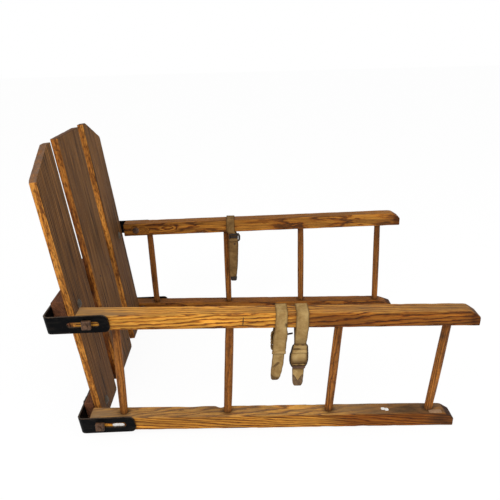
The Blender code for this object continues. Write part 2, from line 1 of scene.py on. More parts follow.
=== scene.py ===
"""Looks of the wooden sled seat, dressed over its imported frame.

Metres. The sides are built in the level frame of part.py, with its origin on the
axis of the lower pivot bolts, and the back in the leaning frame on that axis.
Colours are written as they look on a screen, from 0 to 255.
"""

import json
import math

import bmesh
import bpy
from mathutils import Matrix, Vector, noise


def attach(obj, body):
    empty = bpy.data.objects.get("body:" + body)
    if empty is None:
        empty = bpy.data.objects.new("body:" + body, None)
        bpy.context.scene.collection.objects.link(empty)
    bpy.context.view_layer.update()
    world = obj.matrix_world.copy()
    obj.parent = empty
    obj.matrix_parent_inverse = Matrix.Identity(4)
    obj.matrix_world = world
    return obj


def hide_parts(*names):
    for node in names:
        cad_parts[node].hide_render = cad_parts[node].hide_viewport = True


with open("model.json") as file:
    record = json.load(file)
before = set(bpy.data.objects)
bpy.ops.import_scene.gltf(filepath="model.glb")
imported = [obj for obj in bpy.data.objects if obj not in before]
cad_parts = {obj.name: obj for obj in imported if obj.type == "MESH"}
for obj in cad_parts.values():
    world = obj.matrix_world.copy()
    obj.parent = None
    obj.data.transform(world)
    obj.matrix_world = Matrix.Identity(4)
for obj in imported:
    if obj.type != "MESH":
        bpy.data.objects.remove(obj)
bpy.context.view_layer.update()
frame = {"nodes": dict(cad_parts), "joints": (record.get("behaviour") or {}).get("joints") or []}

# Sizes and places repeated from the part
RIGHT = -1
LEFT = 1
NAMES = {RIGHT: "right", LEFT: "left"}
PITCH = math.radians(1.1248)
BACK_LEAN = math.radians(7.1)
SPACING = 0.488
RAIL_WIDTH = 0.034
RAIL_HEIGHT = 0.0313
RAIL_GAP = 0.1995
RAIL_REAR = 0.0218
UPPER_LENGTH = 0.7503
LOWER_LENGTH = 0.7308
LEFT_SHORTFALL = 0.006
LEFT_SETBACK = 0.010
LEFT_LIFT = 0.0055
LEFT_RISE = math.radians(1.9)
LEFT_NOSE_EXTRA = 0.016
NOSE_LENGTH = 0.020
NOSE_DROP = 0.0135
NOSE_ROUND = 0.006
HEEL_ROUND = 0.0025
SPINDLE_BELLY = 0.0084
SPINDLE_END = 0.0078
SLAT_FRONT = -0.0063
SLAT_THICKNESS = 0.0145
SLAT_FOOT = -0.0275
SLAT_TOP = 0.5405
OUTER_WIDTH = 0.111
MIDDLE_WIDTH = 0.1395
SLAT_GAP = 0.0405
BACK_WIDTH = 2 * OUTER_WIDTH + MIDDLE_WIDTH + 2 * SLAT_GAP
CLIP_WIDTH = 0.0915
CLIP_DROP = 0.047
CLIP_ROUND = 0.012
BOLT_UPS = (0.00389, 0.2383)
BOLT_INSET = 0.0345
WEBBING_WIDTH = 0.0236
WEBBING_THICKNESS = 0.0022
# Places of the straps along their rails
REAR_STRAP = 0.356
FRONT_STRAP = 0.394
LEFT_STRAP = 0.2635

# Foot and top of each spindle along its side, from the lower bolt
SPINDLES = {
    RIGHT: ((0.0443, 0.0467), (0.2532, 0.2609), (0.4574, 0.4678), (0.6602, 0.6737)),
    LEFT: ((0.0394, 0.0337), (0.2458, 0.2427), (0.4527, 0.4459), (0.6665, 0.6556)),
}

# Sizes of the looks: the left upper rail is a little taller than its solid
LEFT_EXTRA = 0.0024
# Thickness, foot and head of each batten
BATTENS = {"lower": (0.019, -0.0166, 0.0244), "upper": (0.0255, 0.2006, 0.2599)}

HALF_RAIL = RAIL_HEIGHT / 2
UPPER_UNDERSIDE = HALF_RAIL + RAIL_GAP
HALF_WIDTH = RAIL_WIDTH / 2
SLAT_REAR = SLAT_FRONT - SLAT_THICKNESS

joint_at = Vector(frame["joints"][0]["pos_m"])
LEVEL = Matrix.Translation(joint_at) @ Matrix.Rotation(PITCH, 4, "Y")
BACK = LEVEL @ Matrix.Rotation(-BACK_LEAN, 4, "Y")
ACROSS = Vector((0, 1, 0))


def shift(x=0.0, y=0.0, z=0.0):
    return Matrix.Translation((x, y, z))


def wave(seed, x, y=0.0, z=0.0):
    """Smooth noise from about -1 to 1."""
    return noise.noise(Vector((x + seed * 13.7, y - seed * 7.3, z + seed * 3.1)))


def near(value, centre, width):
    """1 at the centre, falling smoothly to 0 at this distance."""
    away = abs(value - centre) / width
    return max(0.0, 1.0 - away * away) ** 2


def ease(value, start, end):
    """0 at start to 1 at end, smoothly."""
    share = min(max((value - start) / (end - start), 0.0), 1.0)
    return share * share * (3 - 2 * share)


def table(*rows):
    """A smooth function through (place, value) rows, level beyond their ends."""
    def value(at, across=0.0):
        if at <= rows[0][0]:
            return rows[0][1]
        for one, two in zip(rows, rows[1:]):
            if at < two[0]:
                return one[1] + (two[1] - one[1]) * ease(at, one[0], two[0])
        return rows[-1][1]
    return value


def srgb(*levels):
    """A colour as seen on a screen, to linear light."""
    return tuple(
        level / 255 / 12.92 if level <= 10.3 else ((level / 255 + 0.055) / 1.055) ** 2.4 for level in levels
    )


# Node graphs

class Graph:
    """The nodes of a material or a world, and the calls that build them."""

    def __init__(self, owner):
        owner.use_nodes = True
        self.owner = owner
        self.tree = owner.node_tree

    def plug(self, socket, value):
        if isinstance(value, bpy.types.NodeSocket):
            self.tree.links.new(value, socket)
        elif isinstance(value, (tuple, list)) and socket.type == "RGBA" and len(value) == 3:
            socket.default_value = (*value, 1)
        else:
            socket.default_value = value

    def node(self, kind, inputs=None, **settings):
        made = self.tree.nodes.new("ShaderNode" + kind)
        for key, value in settings.items():
            setattr(made, key, value)
        for key, value in (inputs or {}).items():
            self.plug(made.inputs[key], value)
        return made

    def math(self, operation, first, second=0.0, third=0.0, clamp=False):
        made = self.node("Math", {0: first, 1: second, 2: third}, operation=operation, use_clamp=clamp)
        return made.outputs[0]

    def spread(self, value, low, high, to_low=0.0, to_high=1.0):
        """value from low..high to to_low..to_high, held at the ends."""
        inputs = {"Value": value, "From Min": low, "From Max": high, "To Min": to_low, "To Max": to_high}
        return self.node("MapRange", inputs, clamp=True).outputs[0]

    def vector(self, operation, first, second=(0, 0, 0)):
        made = self.node("VectorMath", {0: first, 1: second}, operation=operation)
        return made.outputs["Value" if operation in ("LENGTH", "DOT_PRODUCT") else "Vector"]

    def noise(self, at, scale, detail=2.0, roughness=0.5, stretch=None, seed=0.0, colour=False):
        if stretch:
            at = self.vector("MULTIPLY", at, stretch)
        inputs = {"Vector": at, "W": seed, "Scale": scale, "Detail": detail, "Roughness": roughness}
        made = self.node("TexNoise", inputs, noise_dimensions="4D")
        return made.outputs["Color" if colour else "Fac"]

    def ramp(self, value, *stops):
        """value through (place, linear colour) stops."""
        made = self.node("ValToRGB", {"Fac": value})
        line = made.color_ramp
        while len(line.elements) < len(stops):
            line.elements.new(0.5)
        for element, (place, colour) in zip(line.elements, stops):
            element.position = place
            element.color = (*colour, 1)
        return made.outputs["Color"]

    def shades(self, value, *stops):
        """value through (place, screen colour) stops."""
        return self.ramp(value, *((place, srgb(*colour)) for place, colour in stops))

    def mix(self, factor, first, second, blend="MIX"):
        made = self.node("Mix", {}, data_type="RGBA", blend_type=blend)
        for socket, value in (("Factor", factor), (6, first), (7, second)):
            self.plug(made.inputs[socket], value)
        return made.outputs[2]

    def together(self, *numbers):
        return self.node("CombineXYZ", dict(enumerate(numbers))).outputs[0]

    def attribute(self, name):
        return self.node("Attribute", attribute_name=name, attribute_type="GEOMETRY").outputs["Vector"]

    def geometry(self, name):
        return self.node("NewGeometry").outputs[name]

    def split(self, vector):
        return self.node("SeparateXYZ", {0: vector}).outputs

    def edge(self, radius):
        """0 on a flat, more where the surface turns within this radius."""
        soft = self.node("Bevel", {"Radius": radius}, samples=6).outputs[0]
        return self.math("SUBTRACT", 1.0, self.vector("DOT_PRODUCT", self.geometry("Normal"), soft))

    def finish(self, colour, roughness, bump, metallic=0.0, specular=0.5):
        """Sets the shader. bump is (height, distance, strength)."""
        height, distance, strength = bump
        normal = self.node("Bump", {"Height": height, "Distance": distance, "Strength": strength}).outputs[0]
        inputs = self.tree.nodes["Principled BSDF"].inputs
        for name, value in (("Base Color", colour), ("Roughness", roughness), ("Normal", normal),
                            ("Metallic", metallic), ("Specular IOR Level", specular)):
            self.plug(inputs[name], value)
        return self.owner


# Materials

def wood(name, tones, grey, dirt, ring, contrast, rough, streak, wild=1.0, speckle=0.0):
    """Timber cut from a log: growth rings about a pith, fibres, pores, weathering and dirt.

    tones are the ring colours from early to late wood, ring is the width of a year, and wild
    is how much the rings wander. The attribute grain is the place in the log, along its X,
    and tone is (weathered grey, dirt, darkness) at each vertex; the dirt and darkness also carry painted
    shade in places.
    """
    g = Graph(bpy.data.materials.new(name))
    grain = g.attribute("grain")
    weathered, dirt_and_shade, dark = g.split(g.attribute("tone"))[:3]
    early, middle, late, darkest = (srgb(*tone) for tone in tones)
    grey = srgb(*grey)

    def pattern(along, across, seed, detail=2.0, roughness=0.5, colour=False):
        """Noise drawn out along the fibres, with this many waves a metre."""
        return g.noise(grain, 1.0, detail, roughness, (along, across, across), seed, colour)

    place = grain
    for wander, size in (
        (pattern(4.5, 16, 0.0, 1.0, 0.5, True), 0.0075),
        (pattern(20, 85, 3.0, 3.0, 0.6, True), 0.0040),
        (pattern(85, 420, 5.0, 2.0, 0.6, True), 0.0014),
    ):
        push = g.vector("SUBTRACT", wander, (0.5, 0.5, 0.5))
        place = g.vector("ADD", place, g.vector("MULTIPLY", push, (0, size * wild * 2, size * wild * 2)))
    radius = g.vector("LENGTH", g.vector("MULTIPLY", place, (0, 1, 1)))
    year = g.math("FRACT", g.math("DIVIDE", radius, ring))
    colour = g.ramp(
        year, (0.0, middle), (0.10, early), (0.42, early), (0.60, middle),
        (0.74, late), (0.87, darkest), (0.95, late), (1.0, middle),
    )
    clear = g.math("MULTIPLY", g.spread(pattern(9, 45, 11.0), 0.35, 0.7, 1.0, 0.55), contrast)
    colour = g.mix(clear, g.mix(0.5, early, late), colour)
    blotch = g.ramp(pattern(7, 32, 17.0, 2.0, 0.55), (0.3, (0.74, 0.7, 0.66)), (0.5, (1, 1, 1)),
                    (0.72, (1.16, 1.18, 1.2)))
    colour = g.mix(1.0, colour, blotch, "MULTIPLY")
    fibre = pattern(30, 850, 23.0, 2.0, 0.65)
    for streaks, share in (
        (pattern(8, 135, 19.0, 2.0, 0.6), streak * 0.9), (pattern(15, 300, 21.0, 2.0, 0.6), streak),
        (fibre, streak * 0.8),
    ):
        deep, mild, high = 1.0 - share, 1.0 - share * 0.3, 1.0 + share * 0.45
        level = g.ramp(streaks, (0.30, (deep, deep * 0.94, deep * 0.85)), (0.42, (mild, mild, mild)),
                       (0.55, (1, 1, 1)), (0.72, (high, high, high)))
        colour = g.mix(1.0, colour, level, "MULTIPLY")
    pore = g.spread(pattern(70, 1500, 31.0, 1.0), 0.66, 0.74)
    colour = g.mix(g.math("MULTIPLY", pore, 0.45), colour, darkest)
    if speckle:
        spots = pattern(190, 300, 47.0, 3.0, 0.7)
        colour = g.mix(g.spread(spots, 0.50, 0.62, 0.0, speckle), colour, darkest)
        colour = g.mix(g.spread(spots, 0.34, 0.44, speckle * 0.5, 0.0), colour, early)
    worn = g.spread(pattern(22, 110, 37.0, 3.0, 0.6), 0.25, 0.62, 0.45, 1.0)
    greyed = g.math("MULTIPLY", weathered, worn, clamp=True)
    grey_tone = g.mix(fibre, tuple(v * 0.72 for v in grey), tuple(v * 1.25 for v in grey))
    colour = g.mix(greyed, colour, grey_tone)
    soil = g.spread(pattern(60, 150, 41.0, 3.0, 0.65), 0.25, 0.65, 0.35, 1.0)
    # The dirt channel also carries painted shade on the slats' edges.
    colour = g.mix(g.math("MULTIPLY", dirt_and_shade, soil, clamp=True), colour, srgb(*dirt))
    shade = g.together(*(g.spread(dark, 0.0, 1.0, 1.0, least) for least in (0.36, 0.24, 0.16)))
    colour = g.mix(1.0, colour, shade, "MULTIPLY")
    height = g.math("MULTIPLY_ADD", year, -0.5, g.math("MULTIPLY", fibre, 1.4))
    height = g.math("SUBTRACT", height, g.math("MULTIPLY", pore, 0.8))
    roughness = g.math("ADD", g.spread(fibre, 0.3, 0.7, rough - 0.08, rough + 0.1),
                       g.math("MULTIPLY", greyed, 0.15), clamp=True)
    return g.finish(colour, roughness, (height, 0.0004, 0.8), specular=0.12)


def black_paint():
    """Old black paint on steel: chipped to brown rust at the edges and in specks."""
    g = Graph(bpy.data.materials.new("black_paint"))
    at = g.geometry("Position")
    ragged = g.noise(at, 160.0, 4.0, 0.65)
    broad = g.noise(at, 28.0, 3.0, 0.6, seed=2.0)
    wear = g.math("ADD", g.math("MULTIPLY", g.edge(0.0022), 2.2), g.math("MULTIPLY", ragged, 0.9))
    chipped = g.math("MULTIPLY", g.spread(wear, 0.62, 0.84), 0.75)
    specks = g.math("MULTIPLY", g.spread(g.noise(at, 420.0, 2.0, 0.6, seed=4.0), 0.66, 0.72), 0.5)
    bare = g.math("MAXIMUM", chipped, specks, clamp=True)
    rust = g.shades(ragged, (0.3, (46, 28, 18)), (0.55, (82, 56, 38)), (0.75, (116, 92, 70)))
    paint = g.shades(broad, (0.35, (2, 3, 5)), (0.65, (9, 9, 10)))
    dusty = g.spread(g.noise(at, 1.0, 4.0, 0.7, (40, 90, 160), 6.0), 0.5, 0.75, 0.0, 0.14)
    # Upward faces are lighter: dust settled on them, and a painted highlight where light falls from above.
    above = g.spread(g.split(g.geometry("Normal"))[2], 0.35, 0.8, 0.0, 0.75)
    dust_and_sheen_on_top = g.math("MULTIPLY", above, g.spread(ragged, 0.3, 0.6, 0.5, 1.0))
    paint = g.mix(g.math("MAXIMUM", dusty, dust_and_sheen_on_top), paint, srgb(84, 76, 66))
    rough = g.spread(g.math("ADD", bare, g.math("MULTIPLY", broad, 0.4)), 0.1, 1.0, 0.38, 0.85)
    height = g.math("SUBTRACT", g.math("MULTIPLY", ragged, 0.5), bare)
    return g.finish(g.mix(bare, paint, rust), rough, (height, 0.00025, 0.6), specular=0.05)


def rusty_steel(name, *tones):
    """Brown rusted steel with dark pits and a little bare metal on its corners."""
    g = Graph(bpy.data.materials.new(name))
    at = g.geometry("Position")
    broad = g.noise(at, 150.0, 4.0, 0.6)
    fine = g.noise(at, 900.0, 3.0, 0.6, seed=3.0)
    colour = g.shades(broad, *zip((0.3, 0.5, 0.62, 0.75), tones))
    colour = g.mix(g.spread(fine, 0.55, 0.75, 0.0, 0.7), colour, srgb(36, 26, 22))
    bright = g.math("MULTIPLY", g.spread(g.edge(0.0012), 0.05, 0.25), g.spread(broad, 0.4, 0.6), clamp=True)
    colour = g.mix(g.math("MULTIPLY", bright, 0.6), colour, srgb(150, 134, 116))
    return g.finish(colour, g.spread(fine, 0.3, 0.7, 0.55, 0.85), (g.math("ADD", broad, fine), 0.0003, 0.7),
                    metallic=g.spread(bright, 0.0, 1.0, 0.25, 0.8))


def webbing(name, light, mid, dark):
    """Woven cotton webbing: a plain weave with ribs, worn and soiled in patches.

    The attribute weave is (across, along, soil) at each vertex; the soil also carries painted shade under
    folds and bars.
    """
    g = Graph(bpy.data.materials.new(name))
    row, column = 0.0016, 0.0020
    at = g.attribute("weave")
    across, along, soil = g.split(at)[:3]
    rows = g.math("SINE", g.math("MULTIPLY", along, 2 * math.pi / row))
    columns = g.math("SINE", g.math("MULTIPLY", across, 2 * math.pi / column))
    weave = g.math("MULTIPLY", rows, columns)
    blotch = g.noise(at, 55.0, 3.0, 0.6, (1, 1, 0.02))
    fuzz = g.noise(at, 900.0, 3.0, 0.7, (1, 1, 0.002), 4.0)
    level = g.spread(g.math("ADD", g.math("MULTIPLY", weave, 0.35), fuzz), 0.1, 0.95, 0.74, 1.16)
    colour = g.shades(blotch, (0.28, dark), (0.5, mid), (0.7, light))
    colour = g.mix(1.0, colour, g.together(level, level, level), "MULTIPLY")
    # The soil channel darkens the webbing, as dirt and in places as painted shade.
    soil_and_shade = g.math("MULTIPLY", soil, g.spread(fuzz, 0.3, 0.7, 0.6, 1.0), clamp=True)
    colour = g.mix(soil_and_shade, colour, srgb(70, 46, 26))
    selvedge = g.spread(g.math("ABSOLUTE", across), 0.0092, 0.0118, 0.0, 0.75)
    colour = g.mix(selvedge, colour, tuple(v * 0.55 for v in srgb(*dark)))
    height = g.math("ADD", g.math("MULTIPLY", weave, 0.5), fuzz)
    return g.finish(colour, 0.92, (height, 0.0004, 0.8), specular=0.1)


def brass(name, bright=1.0):
    """Dull brassy metal of the buckles, dark in the hollows and worn bright on ridges."""
    g = Graph(bpy.data.materials.new(name))
    at = g.geometry("Position")
    broad = g.noise(at, 120.0, 4.0, 0.6)
    fine = g.noise(at, 800.0, 3.0, 0.6, seed=5.0)
    # bright lifts the ridge colour; above 1 it paints glints.
    ridge = tuple(level * bright for level in (184, 156, 100))
    colour = g.shades(broad, (0.3, (58, 42, 22)), (0.48, (112, 84, 46)), (0.6, (150, 118, 66)), (0.75, ridge))
    colour = g.mix(g.spread(fine, 0.58, 0.75, 0.0, 0.6), colour, srgb(46, 32, 20))
    return g.finish(colour, g.spread(broad, 0.3, 0.7, 0.7, 0.4), (fine, 0.0002, 0.5), metallic=0.55)


def mottled(name, scale, low, high, rough, strength, **values):
    """A plain surface between two (place, screen colour) stops. rough is its least and most roughness."""
    g = Graph(bpy.data.materials.new(name))
    broad = g.noise(g.geometry("Position"), scale, 3.0, 0.6)
    return g.finish(g.shades(broad, low, high), g.spread(broad, 0.3, 0.7, *rough), (broad, 0.0002, strength),
                    **values)


OAK = wood(
    "oak", ((255, 182, 70), (230, 144, 38), (144, 73, 7), (54, 23, 3)), (152, 122, 86), (52, 38, 26),
    ring=0.0036, contrast=1.0, rough=0.55, streak=0.62, wild=0.95,
)
SPINDLE_OAK = wood(
    "spindle_oak", ((190, 120, 48), (166, 100, 38), (120, 66, 20), (62, 32, 8)), (126, 96, 66), (60, 44, 30),
    ring=0.0034, contrast=0.9, rough=0.5, streak=0.62, wild=0.6, speckle=0.4,
)
SLAT_WOOD = wood(
    "slat_wood", ((160, 110, 58), (132, 87, 43), (82, 51, 23), (30, 17, 7)), (112, 84, 52), (34, 25, 16),
    ring=0.0056, contrast=1.0, rough=0.66, streak=0.95, wild=0.35,
)
SLAT_EDGE_WOOD = wood(
    "slat_edge_wood", ((232, 156, 64), (206, 130, 46), (152, 86, 26), (84, 46, 14)), (132, 108, 90),
    (62, 38, 22), ring=0.0034, contrast=0.85, rough=0.6, streak=0.45, wild=1.0, speckle=0.8,
)
BATTEN_WOOD = wood(
    "batten_wood", ((140, 86, 54), (120, 72, 45), (90, 51, 32), (54, 31, 20)), (108, 84, 66), (40, 30, 24),
    ring=0.0034, contrast=0.9, rough=0.7, streak=0.4,
)
BLACK_PAINT = black_paint()
RUSTY_STEEL = rusty_steel("rusty_steel", (44, 30, 24), (92, 64, 44), (118, 82, 54), (84, 72, 62))
WORN_STEEL = rusty_steel("worn_steel", (50, 43, 36), (84, 74, 62), (104, 92, 76), (72, 64, 54))
TIP_METAL = rusty_steel("tip_metal", (72, 52, 32), (106, 80, 50), (126, 98, 64), (92, 70, 46))
WEBBING = webbing("webbing", (200, 168, 112), (178, 144, 90), (142, 108, 62))
FAR_WEBBING = webbing("webbing_old", (158, 124, 78), (134, 102, 60), (100, 73, 41))
BRASS = brass("buckle_metal")
# A copy of the brass with its ridges lifted into painted glints, for the knuckles at the rear buckle's edge.
GLINT_BRASS = brass("brass_painted_glints", 1.35)
DARK_METAL = mottled("dark_metal", 400.0, (0.35, (26, 20, 17)), (0.65, (62, 48, 38)), (0.5, 0.8), 0.6,
                     metallic=0.4)
WHITE_PAINT = mottled("white_paint", 300.0, (0.32, (196, 178, 156)), (0.50, (248, 246, 242)), (0.6, 0.8), 0.5)
FILLER = mottled("filler", 260.0, (0.3, (140, 106, 76)), (0.7, (176, 142, 110)), (0.6, 0.8), 0.5,
                 specular=0.12)


# Meshes

# Grid lines near a rounded edge, as shares of its radius
EDGE_LINES = (0, 0.3, 0.65, 1.05)


def lines(low, high, step, radius):
    """Places of the grid lines along one side, closer where the edges are rounded."""
    offsets = [radius * share for share in EDGE_LINES]
    start = low + offsets[-1]
    end = high - offsets[-1]
    count = max(1, round((end - start) / step))
    middle = [start + (end - start) * index / count for index in range(1, count)]
    return [low + off for off in offsets] + middle + [high - off for off in reversed(offsets)]


def block(name, low, high, steps, radius, shape, radii=None, relief=None):
    """A closed grid over a box with rounded edges, each point then moved by shape(point).

    Before that, relief(point, normal) gives how far the point stands out. Returns the mesh
    and its points as they are before shape.
    """
    rows = [lines(low[axis], high[axis], steps[axis], radius) for axis in range(3)]
    places = {}
    points = []
    faces = []

    def corner(key):
        if key not in places:
            flat = Vector([rows[axis][key[axis]] for axis in range(3)])
            around = radii(flat) if radii else radius
            inner = Vector([
                min(max(flat[axis], low[axis] + around), high[axis] - around) for axis in range(3)
            ])
            normal = (flat - inner).normalized()
            rounded = inner + normal * around
            if relief:
                rounded += normal * relief(rounded, normal)
            places[key] = len(points)
            points.append(rounded)
        return places[key]

    for axis in range(3):
        one, two = (axis + 1) % 3, (axis + 2) % 3
        for end in (0, len(rows[axis]) - 1):
            for i in range(len(rows[one]) - 1):
                for j in range(len(rows[two]) - 1):
                    loop = []
                    for a, b in ((0, 0), (1, 0), (1, 1), (0, 1)):
                        key = [0, 0, 0]
                        key[axis], key[one], key[two] = end, i + a, j + b
                        loop.append(corner(tuple(key)))
                    faces.append(loop if end else loop[::-1])
    return solid(name, [shape(point) for point in points], faces), points


def solid(name, verts, faces):
    mesh = bpy.data.meshes.new(name)
    mesh.from_pydata(verts, [], faces)
    mesh.shade_smooth()
    return mesh


def tube_faces(rings, steps, closed=False):
    """Faces between rings of points, with end caps unless the tube is closed on itself."""
    faces = []
    for index in range(rings if closed else rings - 1):
        one, two = index * steps, ((index + 1) % rings) * steps
        for step in range(steps):
            ahead = (step + 1) % steps
            faces.append((one + step, one + ahead, two + ahead, two + step))
    if not closed:
        faces.append(tuple(range(steps))[::-1])
        faces.append(tuple(range((rings - 1) * steps, rings * steps)))
    return faces


def sweep(path, radius, material, steps=10, flat=1.0, closed=False, up=None):
    """A round or flattened rod along a path."""
    turns = [2 * math.pi * step / steps for step in range(steps)]
    section = [(radius * math.cos(turn), radius * flat * math.sin(turn)) for turn in turns]
    verts = []
    count = len(path)
    over = None
    for index, point in enumerate(path):
        ahead = path[(index + 1) % count] if closed else path[min(index + 1, count - 1)]
        behind = path[index - 1] if closed else path[max(index - 1, 0)]
        tangent = (ahead - behind).normalized()
        axis = up or over or (Vector((0, 0, 1)) if abs(tangent.z) < 0.9 else ACROSS)
        across = tangent.cross(axis).normalized()
        over = across.cross(tangent).normalized()
        verts += [point + across * a + over * b for a, b in section]
    return dress(solid("rod", verts, tube_faces(count, steps, closed)), material)


def dress(mesh, *materials, **attributes):
    """Gives a mesh its materials, and vectors for its vertices under each name."""
    for name, values in attributes.items():
        attribute = mesh.attributes.new(name, "FLOAT_VECTOR", "POINT")
        attribute.data.foreach_set("vector", [number for value in values for number in value])
    for material in materials:
        mesh.materials.append(material)
    return mesh


def timber(mesh, look, *materials):
    """Gives a wooden mesh its materials, and its grain and tone from look(place, normal)."""
    grain, tone = zip(*[look(vertex.co, vertex.normal) for vertex in mesh.vertices])
    return dress(mesh, *materials, grain=grain, tone=tone)


def joined(name, meshes):
    """Several meshes, each with its material, as one."""
    work = bmesh.new()
    materials = []
    for mesh in meshes:
        start = len(work.faces)
        work.from_mesh(mesh)
        work.faces.ensure_lookup_table()
        if mesh.materials[0] not in materials:
            materials.append(mesh.materials[0])
        for face in work.faces[start:]:
            face.material_index = materials.index(mesh.materials[0])
            face.smooth = True
    return taken(name, work, *materials)


def taken(name, work, *materials):
    """The mesh of a bmesh, faces outward, and the end of the bmesh."""
    bmesh.ops.recalc_face_normals(work, faces=work.faces)
    made = bpy.data.meshes.new(name)
    work.to_mesh(made)
    work.free()
    return dress(made, *materials)


def link(name, data):
    made = bpy.data.objects.new(name, data)
    bpy.context.scene.collection.objects.link(made)
    return made


def add(name, mesh, matrix, body, slot, *nodes):
    """A piece in place, riding on its body and standing for its CAD nodes."""
    made = link(name, mesh)
    made.matrix_world = matrix
    bpy.context.view_layer.update()
    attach(made, body)
    if nodes:
        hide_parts(*nodes)
    return made


# Rails

# Knots turn the grain and marks are dirt: along, across, up, length, height, strength
KNOTS = {
    ("upper", LEFT): ((0.050, -0.017, 0.014, 0.020, 0.012, 0.020),
                      (0.030, -0.017, 0.020, 0.010, 0.009, -0.012),
                      (0.120, -0.017, 0.017, 0.030, 0.010, 0.008)),
    ("upper", RIGHT): ((0.56, -0.017, 0.040, 0.060, 0.030, 0.006),),
    ("lower", RIGHT): ((0.20, 0.0, 0.0313, 0.030, 0.010, 0.006),),
}
MARKS = {
    ("upper", RIGHT): ((0.735, -0.017, 0.014, 0.030, 0.030, 0.45),),
    ("lower", RIGHT): ((0.704, -0.017, 0.014, 0.034, 0.024, 0.55), (0.245, 0.004, 0.0313, 0.035, 0.016, 0.4),
                       (0.640, -0.004, 0.0313, 0.055, 0.020, 0.85)),
    ("lower", LEFT): ((0.045, -0.005, 0.0313, 0.055, 0.0022, 1.0),),
    ("upper", LEFT): ((0.020, -0.017, 0.018, 0.009, 0.006, 0.7), (0.060, -0.017, 0.015, 0.006, 0.008, 0.5)),
}
# Seed, pith (across, up), tilt of the log along the rail (across, up), size of the grain (along, across)
RAIL_LOOKS = {
    ("upper", RIGHT): (1, (0.056, -0.034), (-0.030, 0.015), (0.60, 0.84)),
    ("lower", RIGHT): (2, (0.045, -0.040), (0.0, -0.085), (0.50, 0.74)),
    ("upper", LEFT): (3, (0.052, 0.030), (0.025, -0.020), (0.65, 0.8)),
    ("lower", LEFT): (4, (0.070, -0.012), (0.020, 0.020), (0.65, 0.8)),
}
# How far grime reaches from a spindle
GRIME_REACH = 0.009


def nose_heights(length, nose):
    """Underside and top of a rail at a distance from its rear end, as a function."""
    slope = math.atan2(NOSE_DROP, nose)
    tangent = NOSE_ROUND * math.tan(math.pi / 4 - slope / 2)
    brow = Vector((length - NOSE_ROUND, RAIL_HEIGHT - NOSE_DROP - tangent))
    start = length - nose

    def heights(x):
        low = 0.0
        into = x - (length - HEEL_ROUND)
        if into > 0:
            low = HEEL_ROUND - math.sqrt(max(HEEL_ROUND ** 2 - into ** 2, 0.0))
        high = RAIL_HEIGHT - max(x - start, 0.0) * NOSE_DROP / nose
        if x > brow.x + NOSE_ROUND * math.sin(slope):
            high = brow.y + math.sqrt(max(NOSE_ROUND ** 2 - (x - brow.x) ** 2, 0.0))
        return low, high - 0.0006 * near(x, start, 0.006)

    return heights


def at_spots(place, spots):
    """Sum of the spots at a place, each full at its middle and 0 from its rim on."""
    total = 0.0
    for x, y, z, length, height, strength in spots:
        across = math.hypot((place.y - y) / height, (place.z - z) / height)
        away = math.hypot((place.x - x) / length, across)
        total += strength * max(0.0, 1.0 - away * away) ** 1.5
    return total


def rail_tone(rail, point, normal, length):
    """Weathered grey, dirt and darkness at a place on a rail."""
    level, side = rail
    x = point.x
    top = max(normal.z, 0.0)
    face = 1.0 - top
    below = max(-normal.z, 0.0)
    streaky = max(wave(RAIL_LOOKS[rail][0], x * 9, point.y * 30, point.z * 30), 0.0)
    grey = 0.10 + 0.30 * top * streaky
    dirt = 0.20 * ease(x, 0.012, 0.0) + at_spots(point, MARKS[rail])
    for foot, head in SPINDLES[side]:
        place = (foot if level == "lower" else head) + RAIL_REAR + (LEFT_SETBACK if side == LEFT else 0)
        beyond = max(math.hypot(x - place, point.y) - SPINDLE_END, 0.0)
        dirt += 0.75 * (top if level == "lower" else below) * max(0.0, 1 - beyond / GRIME_REACH)
    slope = max(min((x - (length - NOSE_LENGTH)) / 0.006, 1.0), 0.0)
    dirt += 0.95 * slope * ease(normal.z, 0.1, 0.6) if level == "lower" else 0.22 * slope
    # Down-facing surfaces get painted shade under the rail; the slope term darkens the nose.
    dark = 0.30 * below + 0.34 * slope
    if rail == ("upper", RIGHT):
        dark += face * (0.13 + 0.80 * ease(x, 0.35, 0.47)) + top * (0.05 + 0.38 * ease(x, 0.30, 0.44))
        grey += top * (0.12 + 0.36 * ease(x, 0.35, 0.7) + 0.6 * ease(x, 0.16, 0.02))
        grey += face * 0.10 * ease(x, 0.35, 0.5)
    elif rail == ("lower", RIGHT):
        dark += face * (0.27 + 0.73 * ease(x, 0.44, 0.53)) + top * (0.10 + 0.50 * ease(x, 0.46, 0.6))
        dark += 0.6 * face * near(point.z, RAIL_HEIGHT - 0.003, 0.0045) * ease(x, 0.30, 0.42)
        grey += top * (0.52 + 0.25 * near(x, 0.57, 0.09) + 0.25 * ease(x, 0.12, 0.02))
        grey += top * 0.25 * ease(x, 0.4, 0.6) + 0.5 * ease(x, 0.66, 0.71)
        bare = near(x, 0.698, 0.010) * near(point.y, -0.010, 0.011) * top
        dark -= 0.45 * bare
        grey += 0.5 * bare
    elif level == "upper":
        dark += 0.72 - 0.10 * ease(x, 0.3, 0.6)
        grey += 0.10
    else:
        dark += 0.86
        grey += 0.16
    return min(grey, 1.0), min(dirt, 1.0), min(max(dark, 0.0), 1.0)


